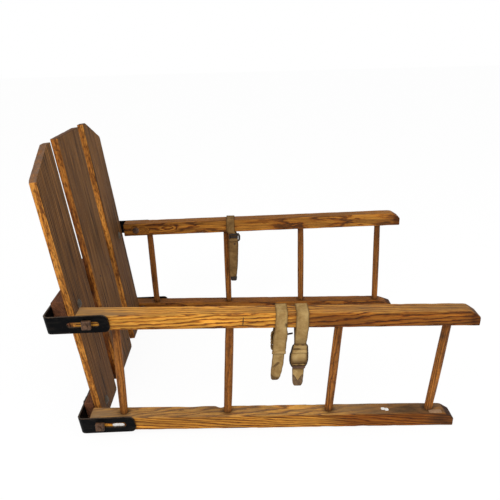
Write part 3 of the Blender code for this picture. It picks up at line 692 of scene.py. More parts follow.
def add_rail(rail):
    """A worn rail with rounded edges and a sloping nose."""
    level, side = rail
    seed, pith, tilt, (long, fine) = RAIL_LOOKS[rail]
    loose = rail == ("upper", LEFT)
    length = UPPER_LENGTH if level == "upper" else LOWER_LENGTH
    nose = NOSE_LENGTH
    if loose:
        length -= LEFT_SHORTFALL
    if rail == ("lower", LEFT):
        nose += LEFT_NOSE_EXTRA
        length += LEFT_NOSE_EXTRA
    heights = nose_heights(length, nose)
    dip = SPINDLES[side][1][0] + RAIL_REAR - 0.015

    def radii(at):
        return 0.0024 + 0.0011 * wave(seed, at.x * 24, at.y * 60, at.z * 60)

    def relief(at, normal):
        ripple = wave(seed + 5, at.x * 14, at.y * 55, at.z * 55) * 0.00028
        ripple += wave(seed + 9, at.x * 45, at.y * 240, at.z * 240) * 0.00012
        chip = max(wave(seed + 3, at.x * 38, at.y * 40, at.z * 40) - 0.22, 0.0)
        if normal.z < -0.3 and level == "lower":
            ripple = -abs(ripple)
        return ripple - abs(normal.y * normal.z) * chip * 0.0042 - 0.00015

    def shape(at):
        low, high = heights(at.x)
        if loose:
            high += LEFT_EXTRA
        if rail == ("lower", RIGHT):
            worn = 0.0042 * near(at.x, dip, 0.012) + 0.0014 * near(at.x, dip - 0.06, 0.030)
            high -= worn * ease(at.y, 0.004, HALF_WIDTH)
        return Vector((at.x, at.y, low + at.z / RAIL_HEIGHT * (high - low)))

    def look(at, normal):
        across = at.y - pith[0] - tilt[0] * at.x + at_spots(at, KNOTS.get(rail, ()))
        up = at.z - pith[1] - tilt[1] * at.x
        grain = (at.x * long + seed * 2.3, across * fine, up * fine)
        return grain, rail_tone(rail, at, normal, length)

    name = f"{level}_rail_{NAMES[side]}"
    mesh = block(name, (0, -HALF_WIDTH, 0), (length, HALF_WIDTH, RAIL_HEIGHT), (0.0028, 0.0036, 0.0036),
                 0.0028, shape, radii, relief)[0]
    timber(mesh, look, OAK)
    underside = -HALF_RAIL
    if level == "upper":
        underside = UPPER_UNDERSIDE + (LEFT_LIFT if loose else 0.0)
    place = LEVEL @ shift(0, side * SPACING / 2, underside)
    place @= Matrix.Rotation(-LEFT_RISE if loose else 0.0, 4, "Y")
    place @= shift(-RAIL_REAR - (LEFT_SETBACK if side == LEFT else 0.0))
    add("wood_" + name, mesh, place, "sides", "oak", name)


def add_spindle(side, index):
    """A turned spindle, a little uneven, with grime where it enters the rails."""
    foot_x, top_x = SPINDLES[side][index]
    underside = UPPER_UNDERSIDE
    if side == LEFT:
        underside += LEFT_LIFT + top_x * math.tan(LEFT_RISE)
    foot = Vector((foot_x, side * SPACING / 2, HALF_RAIL))
    reach = Vector((top_x, side * SPACING / 2, underside)) - foot
    inset = 0.006
    total = reach.length + 2 * inset
    seed = 20 + index + (0 if side == RIGHT else 7)
    rings = 84
    steps = 26
    verts = []
    tone = []
    grain = []
    for ring in range(rings + 1):
        z = total * ring / rings - inset
        middle = min(abs(z / reach.length * 2 - 1), 1.0)
        radius = SPINDLE_BELLY + (SPINDLE_END - SPINDLE_BELLY) * middle ** 2
        radius += 0.00012 * wave(seed, z * 30)
        sway = Vector((wave(seed + 1, z * 6), wave(seed + 2, z * 6), 0)) * 0.0005 * (1 - middle ** 4)
        low = max(0.0, 1 - max(z, 0) / 0.010)
        high = max(0.0, 1 - max(reach.length - z, 0) / 0.007)
        for step in range(steps):
            turn = 2 * math.pi * step / steps
            spoke = Vector((math.cos(turn), math.sin(turn), 0))
            size = radius + 0.00016 * wave(seed + 3, spoke.x * 1.6, spoke.y * 1.6, z * 26)
            point = spoke * size + sway + Vector((0, 0, z))
            verts.append(point)
            grain.append((z + seed * 1.7, point.x - 0.028, point.y - 0.011 * (index - 1.5) - 0.03 * z))
            # Darker towards the top: painted shade under the upper rail.
            dark = 0.10 + 0.30 * ease(z, reach.length * 0.72, reach.length) + (0.05 if side == LEFT else 0)
            dark += 0.10 * wave(seed + 5, z * 12)
            dark += 0.16 * max(wave(seed + 6, spoke.x * 2, spoke.y * 2, z * 60), 0.0)
            knot = 0.0
            if side == RIGHT and index == 3:
                knot = near(z, 0.171, 0.014) * near(step / steps, 0.30, 0.30)
            tone.append((0.10 + 0.15 * low, min(0.7 * low + 0.5 * high + 0.9 * knot, 1.0), max(dark, 0.0)))
    name = f"spindle_{NAMES[side]}_{index + 1}"
    mesh = dress(solid(name, verts, tube_faces(rings + 1, steps)), SPINDLE_OAK, grain=grain, tone=tone)
    turn = reach.to_track_quat("Z", "Y").to_matrix().to_4x4()
    add("wood_" + name, mesh, LEVEL @ Matrix.Translation(foot) @ turn, "sides", "oak", name)


# Back

# How dark each slat's long edges are; the middle board's higher value is painted shade on its edges, seen in
# the gaps between the boards
EDGE_DARK = {"slat_right": -0.02, "slat_middle": 0.36, "slat_left": 0.04}
# Where a normal's X is below this, the surface belongs to an edge
EDGE_ON = 0.6


def slat_top(width, clip_side):
    """Height of a slat's top edge across it, as a function."""
    slope = math.atan2(CLIP_DROP, CLIP_WIDTH)
    setback = CLIP_ROUND * math.tan(math.pi / 4 - slope / 2)
    centre = Vector((width / 2 - CLIP_ROUND, SLAT_TOP - CLIP_DROP - setback))

    def top(y):
        out = y * clip_side
        start = width / 2 - CLIP_WIDTH
        if clip_side == 0 or out < start:
            return SLAT_TOP
        if out > centre.x + CLIP_ROUND * math.sin(slope):
            return centre.y + math.sqrt(max(CLIP_ROUND ** 2 - (out - centre.x) ** 2, 0.0))
        return SLAT_TOP - (out - start) * CLIP_DROP / CLIP_WIDTH

    return top


def add_slat(name, width, middle_y, clip_side, seed):
    """A weathered board: dark grey-brown faces, bright edges, pale end grain."""
    top = slat_top(width, clip_side)
    half = width / 2
    height = SLAT_TOP - SLAT_FOOT

    def radii(at):
        return 0.0016 + 0.0006 * wave(seed, at.x * 40, at.y * 20, at.z * 20)

    def relief(at, normal):
        ridge = wave(seed + 2, at.y * 150, at.z * 4, at.x * 40) * 0.00022
        ridge += wave(seed + 4, at.y * 60, at.z * 9, at.x * 20) * 0.0002
        nick = max(wave(seed + 6, at.z * 34, at.y * 10, at.x * 60) - 0.25, 0.0)
        if at.z < SLAT_FOOT + 0.004:
            ridge = -abs(ridge) - 0.0006
        return ridge - abs(normal.x * normal.y) * nick * 0.004 - 0.0001

    def shape(at):
        """Fits the point under the top edge. Two boards are a little cupped."""
        share = (at.z - SLAT_FOOT) / height
        across = at.y / width + 0.5
        x = at.x
        if name == "slat_right":
            x += 0.0018 * across ** 2 * near(at.z, 0.18, 0.16)
        if name == "slat_middle":
            cup = 0.0008 * ease(at.z, 0.30, 0.50) + 0.0034 * ease(at.z, 0.28, 0.18)
            x -= ease(x, SLAT_FRONT - 0.004, SLAT_REAR) * (1 - across) ** 2 * cup
        return Vector((x, at.y, SLAT_FOOT + share * (top(at.y) - SLAT_FOOT)))

    def look(at, facing):
        x, y, z = at
        grey = 0.10 + 0.32 * max(wave(seed, y * 14, z * 5), 0.0)
        dark = 0.10 + 0.14 * wave(seed + 8, y * 22, z * 3) + 0.14 * ease(z, 0.45, 0.2)
        dark += 0.08 * ease(z, 0.16, 0.02)
        dirt = 0.30 * ease(z, 0.02, SLAT_FOOT)
        if abs(facing.x) < EDGE_ON:
            mottle = max(wave(seed + 12, z * 46, x * 90), 0.0)
            mottle += 0.6 * max(wave(seed + 14, z * 130, x * 160), 0.0)
            grey = 0.06
            dark = EDGE_DARK[name] + 0.32 * mottle + 0.15 * wave(seed + 13, z * 10) - 0.06
            # Towards the back, the left and middle boards' edges get painted shade, as they are seen deep in
            # the gaps; on the middle board a low band of that shade is added as dirt.
            if name == "slat_left":
                dark += 0.25 * ease(x, SLAT_FRONT - 0.006, SLAT_REAR)
            if name == "slat_middle":
                dark += 0.55 * ease(x, SLAT_FRONT - 0.006, SLAT_FRONT - 0.013)
                dirt += 0.55 * ease(z, 0.30, 0.18) * ease(x, SLAT_FRONT - 0.006, SLAT_FRONT - 0.012)
        if facing.z > 0.35:
            rough = wave(seed + 15, y * 90, x * 240) + 0.7 * wave(seed + 16, y * 260, x * 500)
            grey, dark = 1.0, 0.40 + 0.26 * rough + (0.36 if name != "slat_right" else 0.0)
        if clip_side:
            for bolt_z in BOLT_UPS:
                away = math.hypot(y - (half - BOLT_INSET) * clip_side, z - bolt_z)
                dirt += 0.5 * near(away, 0.0, 0.022)
        grain = (z * 0.5 + seed * 2.9, x + 0.045 + 0.01 * z, y - 0.150 + 0.006 * z)
        return grain, (min(grey, 1.0), min(dirt, 1.0), min(max(dark, 0.0), 1.0))

    mesh = block(name, (SLAT_REAR, -half, SLAT_FOOT), (SLAT_FRONT, half, SLAT_TOP),
                 (0.0030, 0.0024, 0.0045), 0.0022, shape, radii, relief)[0]
    timber(mesh, look, SLAT_WOOD, SLAT_EDGE_WOOD)
    for face in mesh.polygons:
        if abs(face.normal.x) < EDGE_ON:
            face.material_index = 1
    add("board_" + name, mesh, BACK @ shift(0, middle_y), "back", "slat_wood", name)


def add_batten(level):
    """A rough batten behind the slats."""
    thick, foot, head = BATTENS[level]
    front = SLAT_REAR - 0.0003
    seed = 50 + len(level)

    def radii(at):
        return 0.0016 + 0.0006 * wave(seed, at.x * 40, at.y * 25, at.z * 40)

    def relief(at, normal):
        rough = wave(seed + 1, at.y * 14, at.x * 90, at.z * 90) * 0.0003
        return rough + wave(seed + 2, at.y * 120, at.x * 260, at.z * 260) * 0.00015 - 0.0002

    def look(at, normal):
        x, y, z = at
        end = abs(normal.y)
        rot = max(wave(seed + 4, x * 130, z * 130), 0.0) * end
        grain = (y + seed, x - front + 0.045, z - head + 0.04 + 0.03 * y)
        return grain, (0.25 + 0.2 * wave(seed, y * 9, z * 30), min(0.9 * rot, 1.0), 0.05 + 0.1 * (1 - end))

    mesh = block(f"batten_{level}", (front - thick, -BACK_WIDTH / 2, foot), (front, BACK_WIDTH / 2, head),
                 (0.003, 0.0035, 0.003), 0.0022, lambda at: at, radii, relief)[0]
    timber(mesh, look, BATTEN_WOOD)
    add("wood_batten_" + level, mesh, BACK, "back", "batten_wood", "batten_" + level)


# Straps: heights are drops below the underside of the rail, and y is across the rail

# Room between a strap and its rail, and thickness of a hem or fold
SEAT = 0.0007
HEM = 0.0016


def rounded_path(corners, radius, step=0.0012):
    """Evenly spaced points along a line with rounded corners, and the line's length."""
    points = [corners[0]]
    for before, corner, after in zip(corners, corners[1:], corners[2:]):
        one, two = before - corner, after - corner
        reach = min(radius, one.length * 0.45, two.length * 0.45)
        start, end = corner + one.normalized() * reach, corner + two.normalized() * reach
        for index in range(9):
            t = index / 8
            points.append(start * (1 - t) ** 2 + corner * 2 * t * (1 - t) + end * t ** 2)
    points.append(corners[-1])
    total = sum((b - a).length for a, b in zip(points, points[1:]))
    count = max(2, round(total / step))
    made = [points[0]]
    walked = 0.0
    index = 0
    for number in range(1, count):
        goal = total * number / count
        while walked + (points[index + 1] - points[index]).length < goal:
            walked += (points[index + 1] - points[index]).length
            index += 1
        share = (goal - walked) / (points[index + 1] - points[index]).length
        made.append(points[index].lerp(points[index + 1], share))
    return made + [points[-1]], total


def ribbon(corners, radius, material, width, sway, soil, seed, thick=HEM):
    """Webbing along a path of (across, up), its width along X. width(drop) scales it,
    sway(drop, y) moves it along the rail, and soil(along the rail, up) darkens it with dirt and, in places,
    painted shade."""
    path, total = rounded_path([Vector((y, z, 0)) for y, z in corners], radius)
    last = len(path) - 1
    half = WEBBING_WIDTH / 2

    def shape(at):
        place = min(max(at.x / total, 0.0), 1.0) * last
        index = min(int(place), last - 1)
        point = path[index].lerp(path[index + 1], place - index)
        tangent = (path[min(index + 2, last)] - path[max(index - 1, 0)]).normalized()
        out = Vector((tangent.y, -tangent.x, 0))
        spot = point + out * (at.z + 0.0005 * wave(seed, at.x * 60, at.y * 40))
        return Vector((at.y * width(-spot.y) + sway(-spot.y, spot.x), spot.x, spot.y))

    mesh, points = block("ribbon", (0, -half, -thick / 2), (total, half, thick / 2),
                         (0.0022, 0.0022, 0.001), 0.0009, shape)
    soils = [soil(vertex.co.x, vertex.co.z) for vertex in mesh.vertices]
    return dress(mesh, material, weave=[(point.y, point.x, dirt_and_shade) for point, dirt_and_shade in zip(points, soils)])


def strap_place(side, strap_x):
    up = UPPER_UNDERSIDE
    if side == LEFT:
        up += LEFT_LIFT + strap_x * math.tan(LEFT_RISE)
    return LEVEL @ shift(strap_x, side * SPACING / 2, up)


def strap_corners(hang, drop, inner_drop, join, taller=0.0):
    """Path of a strap round a rail, from its inner end under the rail to its outer end."""
    half = HALF_WIDTH + SEAT + WEBBING_THICKNESS / 2
    over = RAIL_HEIGHT + taller + SEAT + WEBBING_THICKNESS / 2
    ply = WEBBING_THICKNESS / 2 + 0.0001
    return [
        (hang + ply, -inner_drop), (hang + ply, -join), (half, -0.001), (half, over), (-half, over),
        (-half, -0.001), (hang - ply, -join), (hang - ply, -drop),
    ]


def frame_path(width, height, radius, x, y, up, steps=6):
    """A rounded rectangle in the XZ plane."""
    points = []
    for sx, sz, start in ((1, 1, 0), (-1, 1, 90), (-1, -1, 180), (1, -1, 270)):
        for step in range(steps + 1):
            angle = math.radians(start + 90 * step / steps)
            points.append(Vector((
                x + sx * (width / 2 - radius) + radius * math.cos(angle), y,
                up + sz * (height / 2 - radius) + radius * math.sin(angle),
            )))
    return points


def bar(x0, x1, y, z, radius, material, flat=1.0):
    path = [Vector((x0 + (x1 - x0) * step / 8, y, z)) for step in range(9)]
    return sweep(path, radius, material, 12, flat, up=ACROSS)


def add_rear_strap():
    """The right rear strap leans rearward. Its buckle is behind it, and its end is cut round."""
    hang = -RAIL_WIDTH / 4
    place = strap_place(RIGHT, REAR_STRAP)
    lean = table(
        (-0.03, 0.0015), (0.003, 0.0006), (0.0104, 0.0008), (0.0218, -0.0004), (0.0408, -0.0011),
        (0.058, -0.0022), (0.0636, -0.0030), (0.0787, -0.0040), (0.0977, -0.0062), (0.109, -0.0078),
        (0.1195, -0.0090),
    )
    narrow = table(
        (-0.03, 0.93), (0.0, 0.96), (0.0104, 1.07), (0.0218, 1.16), (0.0408, 1.10), (0.056, 1.09),
        (0.060, 0.96), (0.0636, 0.95), (0.0787, 0.97), (0.0977, 0.92), (0.109, 0.82), (0.116, 0.68),
        (0.1195, 0.42),
    )

    def soil(x, z):
        foot = 1.6 * near(z, -0.117, 0.018) * near(x, -0.019, 0.012) + 1.2 * near(z, -0.1215, 0.0150)
        slit = 3.5 * near(x - 0.9 * (z + 0.084), -0.0075, 0.0040) * near(z, -0.084, 0.0075)
        spot = 1.6 * near(z, 0.0085, 0.0060) * near(x, 0.0100, 0.0036)
        # Lines along the hem's upper and lower edges are painted shade.
        hem_shade = 0.5 * near(z, -0.0605, 0.0016) + 0.35 * near(z, -0.0535, 0.0012)
        rim = 0.6 * ease(abs(x - lean(-z)), 0.0085, 0.0125)
        return min(1.0, foot + slit + spot + hem_shade + rim + 0.15 * ease(z, 0.0, -0.1))

    front = hang - 0.0034
    strap = ribbon(strap_corners(hang, 0.1195, 0.052, 0.034), 0.004, WEBBING, narrow, lean, soil, 71,
                   WEBBING_THICKNESS)
    # The hem darkens at its lower fold as painted shade.
    hem = ribbon(
        [(hang - 0.0010, -0.0540), (front, -0.0556), (front, -0.0584), (hang - 0.0010, -0.0602)],
        0.0012, WEBBING, lambda down: 1.13, lean, lambda x, z: 0.10 + 0.9 * near(z, -0.0600, 0.0020), 72,
    )
    add("webbing_right_rear", joined("strap_right_rear", [strap, hem]), place, "sides", "webbing",
        "strap_right_rear")
    behind = hang + 0.0042
    pieces = [
        sweep(frame_path(0.0262, 0.0400, 0.004, -0.0028, behind, -0.0340), 0.0017, BRASS, closed=True,
              up=ACROSS),
        bar(-0.0155, 0.0105, behind, -0.0350, 0.0013, BRASS),
    ]
    # Knuckles at the buckle's left edge, in the brass with painted glints.
    for up in (-0.0225, -0.0300, -0.0375, -0.0450):
        knuckle = [Vector((-0.0156, behind - 0.0012, up - 0.0024)), Vector((-0.0162, behind - 0.0016, up)),
                   Vector((-0.0156, behind - 0.0012, up + 0.0024))]
        pieces.append(sweep(knuckle, 0.0022, GLINT_BRASS, up=ACROSS))
    prong = [Vector((x, hang - out, z)) for x, out, z in (
        (0.0060, 0.0005, -0.0200), (0.0110, 0.0020, -0.0180), (0.0145, 0.0026, -0.0160),
        (0.0180, 0.0026, -0.0152), (0.0212, 0.0022, -0.0150), (0.0232, 0.0020, -0.0142),
    )]
    pieces.append(sweep(prong, 0.0017, DARK_METAL))
    add("metal_buckle_right_rear", joined("buckle_right_rear", pieces), place, "sides", "buckle_metal",
        "buckle_right_rear")


def add_front_strap():
    """The right front strap runs through a barrel-shaped buckle and ends in a notched metal tip."""
    hang = -RAIL_WIDTH / 4
    front = hang - 0.0046
    behind = hang - 0.002
    place = strap_place(RIGHT, FRONT_STRAP)
    lean = table(
        (-0.03, 0.0022), (0.0, 0.0022), (0.010, 0.0014), (0.020, 0.0012), (0.036, 0.0004), (0.050, -0.0006),
        (0.064, -0.0018), (0.080, -0.0020), (0.100, -0.0024), (0.124, -0.0026),
    )
    narrow = table(
        (-0.03, 1.0), (0.0, 1.02), (0.010, 1.02), (0.022, 1.03), (0.036, 0.99), (0.080, 0.95), (0.0925, 0.98),
        (0.110, 0.93), (0.124, 0.86),
    )
    barrel = table(
        (0.036, 1.02), (0.040, 1.13), (0.046, 1.20), (0.053, 1.27), (0.060, 1.38), (0.067, 1.42),
        (0.074, 1.41), (0.080, 1.32), (0.086, 1.14), (0.091, 1.10),
    )

    def filling(down):
        return barrel(down) * 0.955

    # The band just under the buckle's bottom bar is painted shade.
    def soil(x, z):
        rim = 0.60 * ease(abs(x - lean(-z)), 0.0085, 0.0120)
        return min(1.0, 0.5 * near(z, -0.036, 0.016) + 0.7 * near(z, -0.092, 0.006) + rim)

    # A dark wedge low on the fold's left side is painted shade, over a light even soil.
    def fold_soil_and_shade(x, z):
        return min(1.0, 1.6 * near(z, -0.0485, 0.0050) * near(x, -0.0085, 0.0130) + 0.15)

    # The bulge darkens towards its bottom as painted shade, and its edges are darker.
    def bulge_soil_and_shade(x, z):
        return min(1.0, 0.05 + 0.9 * ease(z, -0.063, -0.079) + 0.7 * ease(abs(x + 0.002), 0.0105, 0.0150))

    strap = ribbon(strap_corners(hang, 0.1240, 0.080, 0.034), 0.004, WEBBING, narrow, lean, soil, 73,
                   WEBBING_THICKNESS)
    fold = ribbon(
        [(behind, -0.0390), (front + 0.0006, -0.0405), (front - 0.0006, -0.0435), (front + 0.0004, -0.0480),
         (behind, -0.0510)], 0.002, WEBBING, filling, lean, fold_soil_and_shade, 74,
    )
    # The lip darkens at its lower fold as painted shade.
    lip = ribbon(
        [(behind, -0.0500), (front - 0.0010, -0.0520), (front - 0.0018, -0.0550), (behind, -0.0580)],
        0.0012, WEBBING, filling, lean, lambda x, z: near(z, -0.0575, 0.0026), 77,
    )
    bulge = ribbon(
        [(behind, -0.0565), (front - 0.0004, -0.0585), (front - 0.0030, -0.0660), (front - 0.0018, -0.0770),
         (behind + 0.0002, -0.0870)], 0.005, WEBBING, filling, lean, bulge_soil_and_shade, 75,
    )
    plies = joined("strap_right_front", [strap, fold, lip, bulge])
    add("webbing_right_front", plies, place, "sides", "webbing", "strap_right_front")
    right = []
    left = []
    for step in range(33):
        down = 0.0395 + 0.0490 * step / 32
        half = WEBBING_WIDTH / 2 * barrel(down) * (1.0 - 0.8 * max(abs(step - 16) / 16 - 0.85, 0.0))
        right.append(Vector((lean(down) + half, hang - 0.0024, -down)))
        left.append(Vector((lean(down) - half, hang - 0.0024, -down)))
    pieces = [
        sweep(right + left[::-1], 0.0017, DARK_METAL, flat=1.2, closed=True, up=ACROSS),
        bar(-0.0122, 0.0132, front + 0.0006, -0.0395, 0.0016, BRASS),
        bar(-0.0150, 0.0110, front - 0.0022, -0.0812, 0.0015, BRASS, 0.9),
        bar(-0.0142, 0.0102, front - 0.0020, -0.0868, 0.0028, RUSTY_STEEL, 0.9),
    ]
    add("metal_buckle_right_front", joined("buckle_right_front", pieces), place, "sides", "buckle_metal",
        "buckle_right_front")
    add_tip("strap_tip_right_front", place @ shift(-0.0026), hang, 0.1070, 0.0216, 0.0265, TIP_METAL, 0.0135)


def add_left_strap():
    """The left strap crosses its rail askew and hangs on the inside, with a small dark buckle."""
    hang = -HALF_WIDTH
    place = strap_place(LEFT, LEFT_STRAP)
    narrow = table(
        (-0.03, 0.92), (0.0, 0.94), (0.020, 1.06), (0.034, 1.15), (0.055, 1.11), (0.080, 1.06), (0.100, 1.01),
        (0.120, 0.90), (0.133, 0.76),
    )
    hanging = table(
        (-0.004, 0.0), (0.010, 0.0082), (0.022, 0.0072), (0.045, 0.0074), (0.080, 0.0070), (0.129, 0.0058),
    )

    def lean(down, y):
        over = -0.0088 * max(ease(y, 0.014, -0.016), ease(down, -0.004, -0.016))
        return over + hanging(down) * ease(y, 0.0, -0.012)

    def soil(x, z):
        stitch = 0.6 * near(z, -0.055, 0.0022)
        rivet = 0.9 * near(math.hypot(x - 0.002, z + 0.034), 0.0, 0.005)
        rim = 0.5 * ease(abs(x - lean(-z, -0.02)), 0.0080, 0.0115)
        return min(1.0, stitch + rivet + 0.25 * near(z, -0.006, 0.008) + rim)

    strap = ribbon(strap_corners(hang, 0.1330, 0.026, 0.008, LEFT_EXTRA), 0.004, FAR_WEBBING, narrow, lean,
                   soil, 76, WEBBING_THICKNESS)
    # The loop darkens at its lower fold as painted shade, over a light even soil.
    loop = ribbon(
        [(hang - 0.002, -0.0170), (hang - 0.0052, -0.0190), (hang - 0.0050, -0.0255),
         (hang - 0.002, -0.0275)],
        0.0015, FAR_WEBBING, lambda down: 1.06, lean, lambda x, z: 0.25 + 0.4 * near(z, -0.0265, 0.002), 78,
    )
    add("webbing_left", joined("strap_left", [strap, loop]), place, "sides", "webbing", "strap_left")
    front = hang - 0.0044
    tongue = [Vector((0.0118 + 0.0010 * step, front, -0.0020 - 0.0040 * step)) for step in range(4)]
    pieces = [
        sweep(frame_path(0.0258, 0.0180, 0.005, 0.0020, hang - 0.0030, -0.0150), 0.0026, DARK_METAL,
              closed=True, up=ACROSS),
        bar(-0.0085, 0.0115, front, -0.0130, 0.0026, DARK_METAL),
        sweep(tongue, 0.0018, DARK_METAL, 8),
        dome(Vector((0.0015, hang - 0.0028, -0.0340)), -ACROSS, 0.0022, 0.0012, RUSTY_STEEL),
    ]
    add("metal_buckle_left", joined("buckle_left", pieces), place, "sides", "buckle_metal", "buckle_left")
    add_tip("strap_tip_left", place @ shift(-0.0018), hang, 0.1315, 0.0182, 0.0130, DARK_METAL)


def add_tip(name, place, hang, drop, width, height, material, notch=0.0):
    """The metal end of a strap: a folded plate round the webbing, with a notched or straight top."""
    half = width / 2

    def shape(at):
        down = -at.z / height
        squeeze = 1.0 - 0.10 * down - 0.30 * (max(down - 0.62, 0.0) / 0.38) ** 2
        cut = notch * max(0.0, 1 - abs(at.x / half) * 1.3) * (1 - down)
        return Vector((at.x * squeeze, at.y * (1.0 - 0.35 * ease(down, 0.6, 1.0)), at.z - cut))

    ply = 0.0026
    mesh = block(name, (-half, -ply, -height), (half, ply, 0), (0.0014, 0.0012, 0.0014), 0.0012, shape)[0]
    add("metal_" + name, dress(mesh, material), place @ shift(0, hang - 0.0006, -drop), "sides",
        "buckle_metal", name)


def dome(centre, outward, radius, height, material):
    """A small round nail head."""
    work = bmesh.new()
    bmesh.ops.create_uvsphere(work, u_segments=14, v_segments=8, radius=radius)
    turn = outward.to_track_quat("Z", "Y").to_matrix()
    for vertex in work.verts:
        vertex.co = centre + turn @ Vector((vertex.co.x, vertex.co.y, vertex.co.z * height / radius))
    return taken("dome", work, material)


# Nails, a crack and old paint

def patch(name, long, wide, steps, square, seed, thick, material):
    """A thin irregular film on the plane Z = 0, an oval that is squarer for a smaller square."""
    work = bmesh.new()
    rim = []
    for step in range(steps):
        turn = 2 * math.pi * step / steps
        x, y = (size / 2 * math.copysign(abs(part) ** square, part)
                for size, part in ((long, math.cos(turn)), (wide, math.sin(turn))))
        rim.append((x + 0.0005 * wave(seed, x * 900, y * 900), y + 0.0005 * wave(seed + 1, x * 900, y * 900)))
    centre = work.verts.new((0, 0, thick))
    bottom = work.verts.new((0, 0, -thick))
    inner = [work.verts.new((x * 0.8, y * 0.8, thick)) for x, y in rim]
    outer = [work.verts.new((x, y, 0)) for x, y in rim]
    foot = [work.verts.new((x, y, -thick)) for x, y in rim]
    for one in range(steps):
        two = (one + 1) % steps
        work.faces.new((centre, inner[one], inner[two]))
        work.faces.new((inner[one], outer[one], outer[two], inner[two]))
        work.faces.new((outer[one], foot[one], foot[two], outer[two]))
        work.faces.new((bottom, foot[two], foot[one]))
    made = taken(name, work, material)
    made.shade_smooth()
    return made


def add_details():
    nails = [
        dome(Vector((SLAT_FRONT + 0.0001, across, up)), Vector((1, 0, 0)), 0.0021, 0.0008, DARK_METAL)
        for across, up in ((-0.135, 0.2228), (-0.028, 0.2224), (0.036, 0.2226), (0.135, 0.2230),
                           (-0.042, 0.0100), (0.048, 0.0085), (-0.200, 0.262), (-0.128, 0.250))
    ]
    add("nails", joined("nails", nails), BACK, "back", "rusty_steel")
    face = -SPACING / 2 - HALF_WIDTH
    outward = Matrix.Rotation(math.radians(90), 4, "X")
    smear = patch("smear", 0.0245, 0.0086, 20, 0.7, 81, 0.00025, WHITE_PAINT)
    add("paint_smear", smear, LEVEL @ shift(0.0350, face - 0.0002, -0.0012) @ outward, "sides", "oak")
    crack = patch("crack", 0.0018, 0.0190, 16, 1.1, 84, 0.0003, DARK_METAL)
    lean = Matrix.Rotation(0.08, 4, "Y")
    place = LEVEL @ shift(0.2862, face - 0.0001, UPPER_UNDERSIDE + 0.0150) @ lean @ outward
    add("rail_crack", crack, place, "sides", "oak")
    specks = []
    for x, y, long, wide, seed in (
        (0.5684, -0.2446, 0.0080, 0.0078, 21), (0.5750, -0.2470, 0.0084, 0.0088, 35),
    ):
        speck = patch("speck", long, wide, 14, 0.7, seed, 0.0002, WHITE_PAINT)
        speck.transform(shift(x, y, HALF_RAIL - 0.0001))
        specks.append(speck)
    add("paint_specks", joined("paint_specks", specks), LEVEL, "sides", "oak")
    filler = patch("filler", 0.0260, 0.0100, 28, 0.3, 83, 0.0005, FILLER)
    add("filler", filler, LEVEL @ shift(0.6715, -0.2545, HALF_RAIL - 0.0001), "sides", "oak")


def dress_bare():
    """The brackets, bolts and nuts stay as they are in the CAD and get their finish here."""
    for name, item in frame["nodes"].items():
        if name.startswith("bracket"):
            material = BLACK_PAINT
        elif name.startswith("back_bolt"):
            material = WORN_STEEL
        elif "bolt" in name or "nut" in name:
            material = RUSTY_STEEL
        else:
            continue
        for slot in item.material_slots:
            slot.link = "OBJECT"
            slot.material = material
        if not item.material_slots:
            item.data.materials.append(material)
        rounding = item.modifiers.new("worn_edges", "BEVEL")
        rounding.width = 0.0006
        rounding.segments = 2
        rounding.limit_method = "ANGLE"
        rounding.angle_limit = math.radians(35)


# Floor, light and camera

def make_floor():
    work = bmesh.new()
    bmesh.ops.create_grid(work, x_segments=1, y_segments=1, size=12)
    g = Graph(bpy.data.materials.new("floor"))
    path = g.node("LightPath").outputs
    mirrored = g.math("MAXIMUM", path["Is Glossy Ray"], path["Is Transmission Ray"])
    seen = g.math("MAXIMUM", path["Is Camera Ray"], mirrored)
    pale = g.node("BsdfDiffuse", {"Color": (0.86, 0.86, 0.86)})
    white = g.node("Emission", {"Color": (1.0, 1.0, 1.0), "Strength": 1.035})
    blend = g.node("MixShader", {0: g.math("MULTIPLY", seen, 0.9), 1: pale.outputs[0], 2: white.outputs[0]})
    g.plug(g.tree.nodes["Material Output"].inputs["Surface"], blend.outputs[0])
    floor = link("floor", taken("floor", work, g.owner))


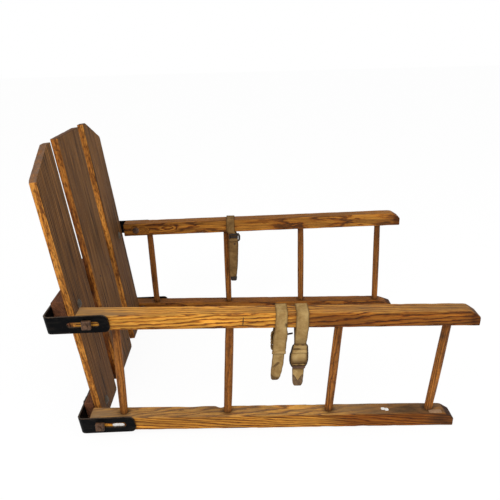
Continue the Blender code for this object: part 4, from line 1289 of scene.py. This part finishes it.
def make_world():
    """White to the camera, and softer as light."""
    world = bpy.data.worlds.new("studio")
    bpy.context.scene.world = world
    g = Graph(world)
    shade = g.tree.nodes["Background"].inputs
    path = g.node("LightPath").outputs
    seen = g.math("MAXIMUM", path["Is Camera Ray"], path["Is Transmission Ray"])
    g.plug(shade["Color"], (1.0, 1.0, 1.0))
    g.plug(shade["Strength"], g.spread(seen, 0.0, 1.0, 0.62, 1.0))


def make_lamp(name, size, power, at):
    light = bpy.data.lights.new(name, "AREA")
    light.shape = "DISK"
    light.size = size
    light.energy = power
    lamp = link(name, light)
    lamp.location = at
    lamp.rotation_euler = (Vector((0, 0, 0.2)) - Vector(at)).to_track_quat("-Z", "Y").to_euler()


def make_camera():
    """The photograph's view, found in the level frame of the sides."""
    focal, picture = 526.3047, 500
    yaw, pitch, roll = -0.0156, 0.3824, -0.0049
    at = Vector((0.28633, -1.11198, 0.71482))
    forward = Vector((-math.sin(yaw) * math.cos(pitch), math.cos(yaw) * math.cos(pitch), -math.sin(pitch)))
    level_right = Vector((math.cos(yaw), math.sin(yaw), 0))
    level_up = level_right.cross(forward)
    right = math.cos(roll) * level_right + math.sin(roll) * level_up
    up = -math.sin(roll) * level_right + math.cos(roll) * level_up
    data = bpy.data.cameras.new("camera")
    data.sensor_width = 36
    data.lens = focal / picture * data.sensor_width
    camera = link("camera", data)
    columns = (right, up, -forward, at)
    turn = Matrix([[column[row] for column in columns] for row in range(3)] + [[0, 0, 0, 1]])
    camera.matrix_world = LEVEL @ turn
    bpy.context.scene.camera = camera


for each_side in (RIGHT, LEFT):
    for each_level in ("lower", "upper"):
        add_rail((each_level, each_side))
    for each_index in range(4):
        add_spindle(each_side, each_index)
outer_y = (MIDDLE_WIDTH + OUTER_WIDTH) / 2 + SLAT_GAP
add_slat("slat_right", OUTER_WIDTH, -outer_y, RIGHT, 31)
add_slat("slat_middle", MIDDLE_WIDTH, 0.0, 0, 32)
add_slat("slat_left", OUTER_WIDTH, outer_y, LEFT, 33)
for each_level in BATTENS:
    add_batten(each_level)
add_rear_strap()
add_front_strap()
add_left_strap()
add_details()
dress_bare()
make_floor()
make_world()
make_lamp("key", 1.6, 34, (-1.2, -2.0, 2.3))
make_lamp("fill", 2.2, 14, (1.8, -1.6, 1.6))
make_camera()
bpy.context.scene.view_settings.view_transform = "Standard"

bpy.context.view_layer.update()
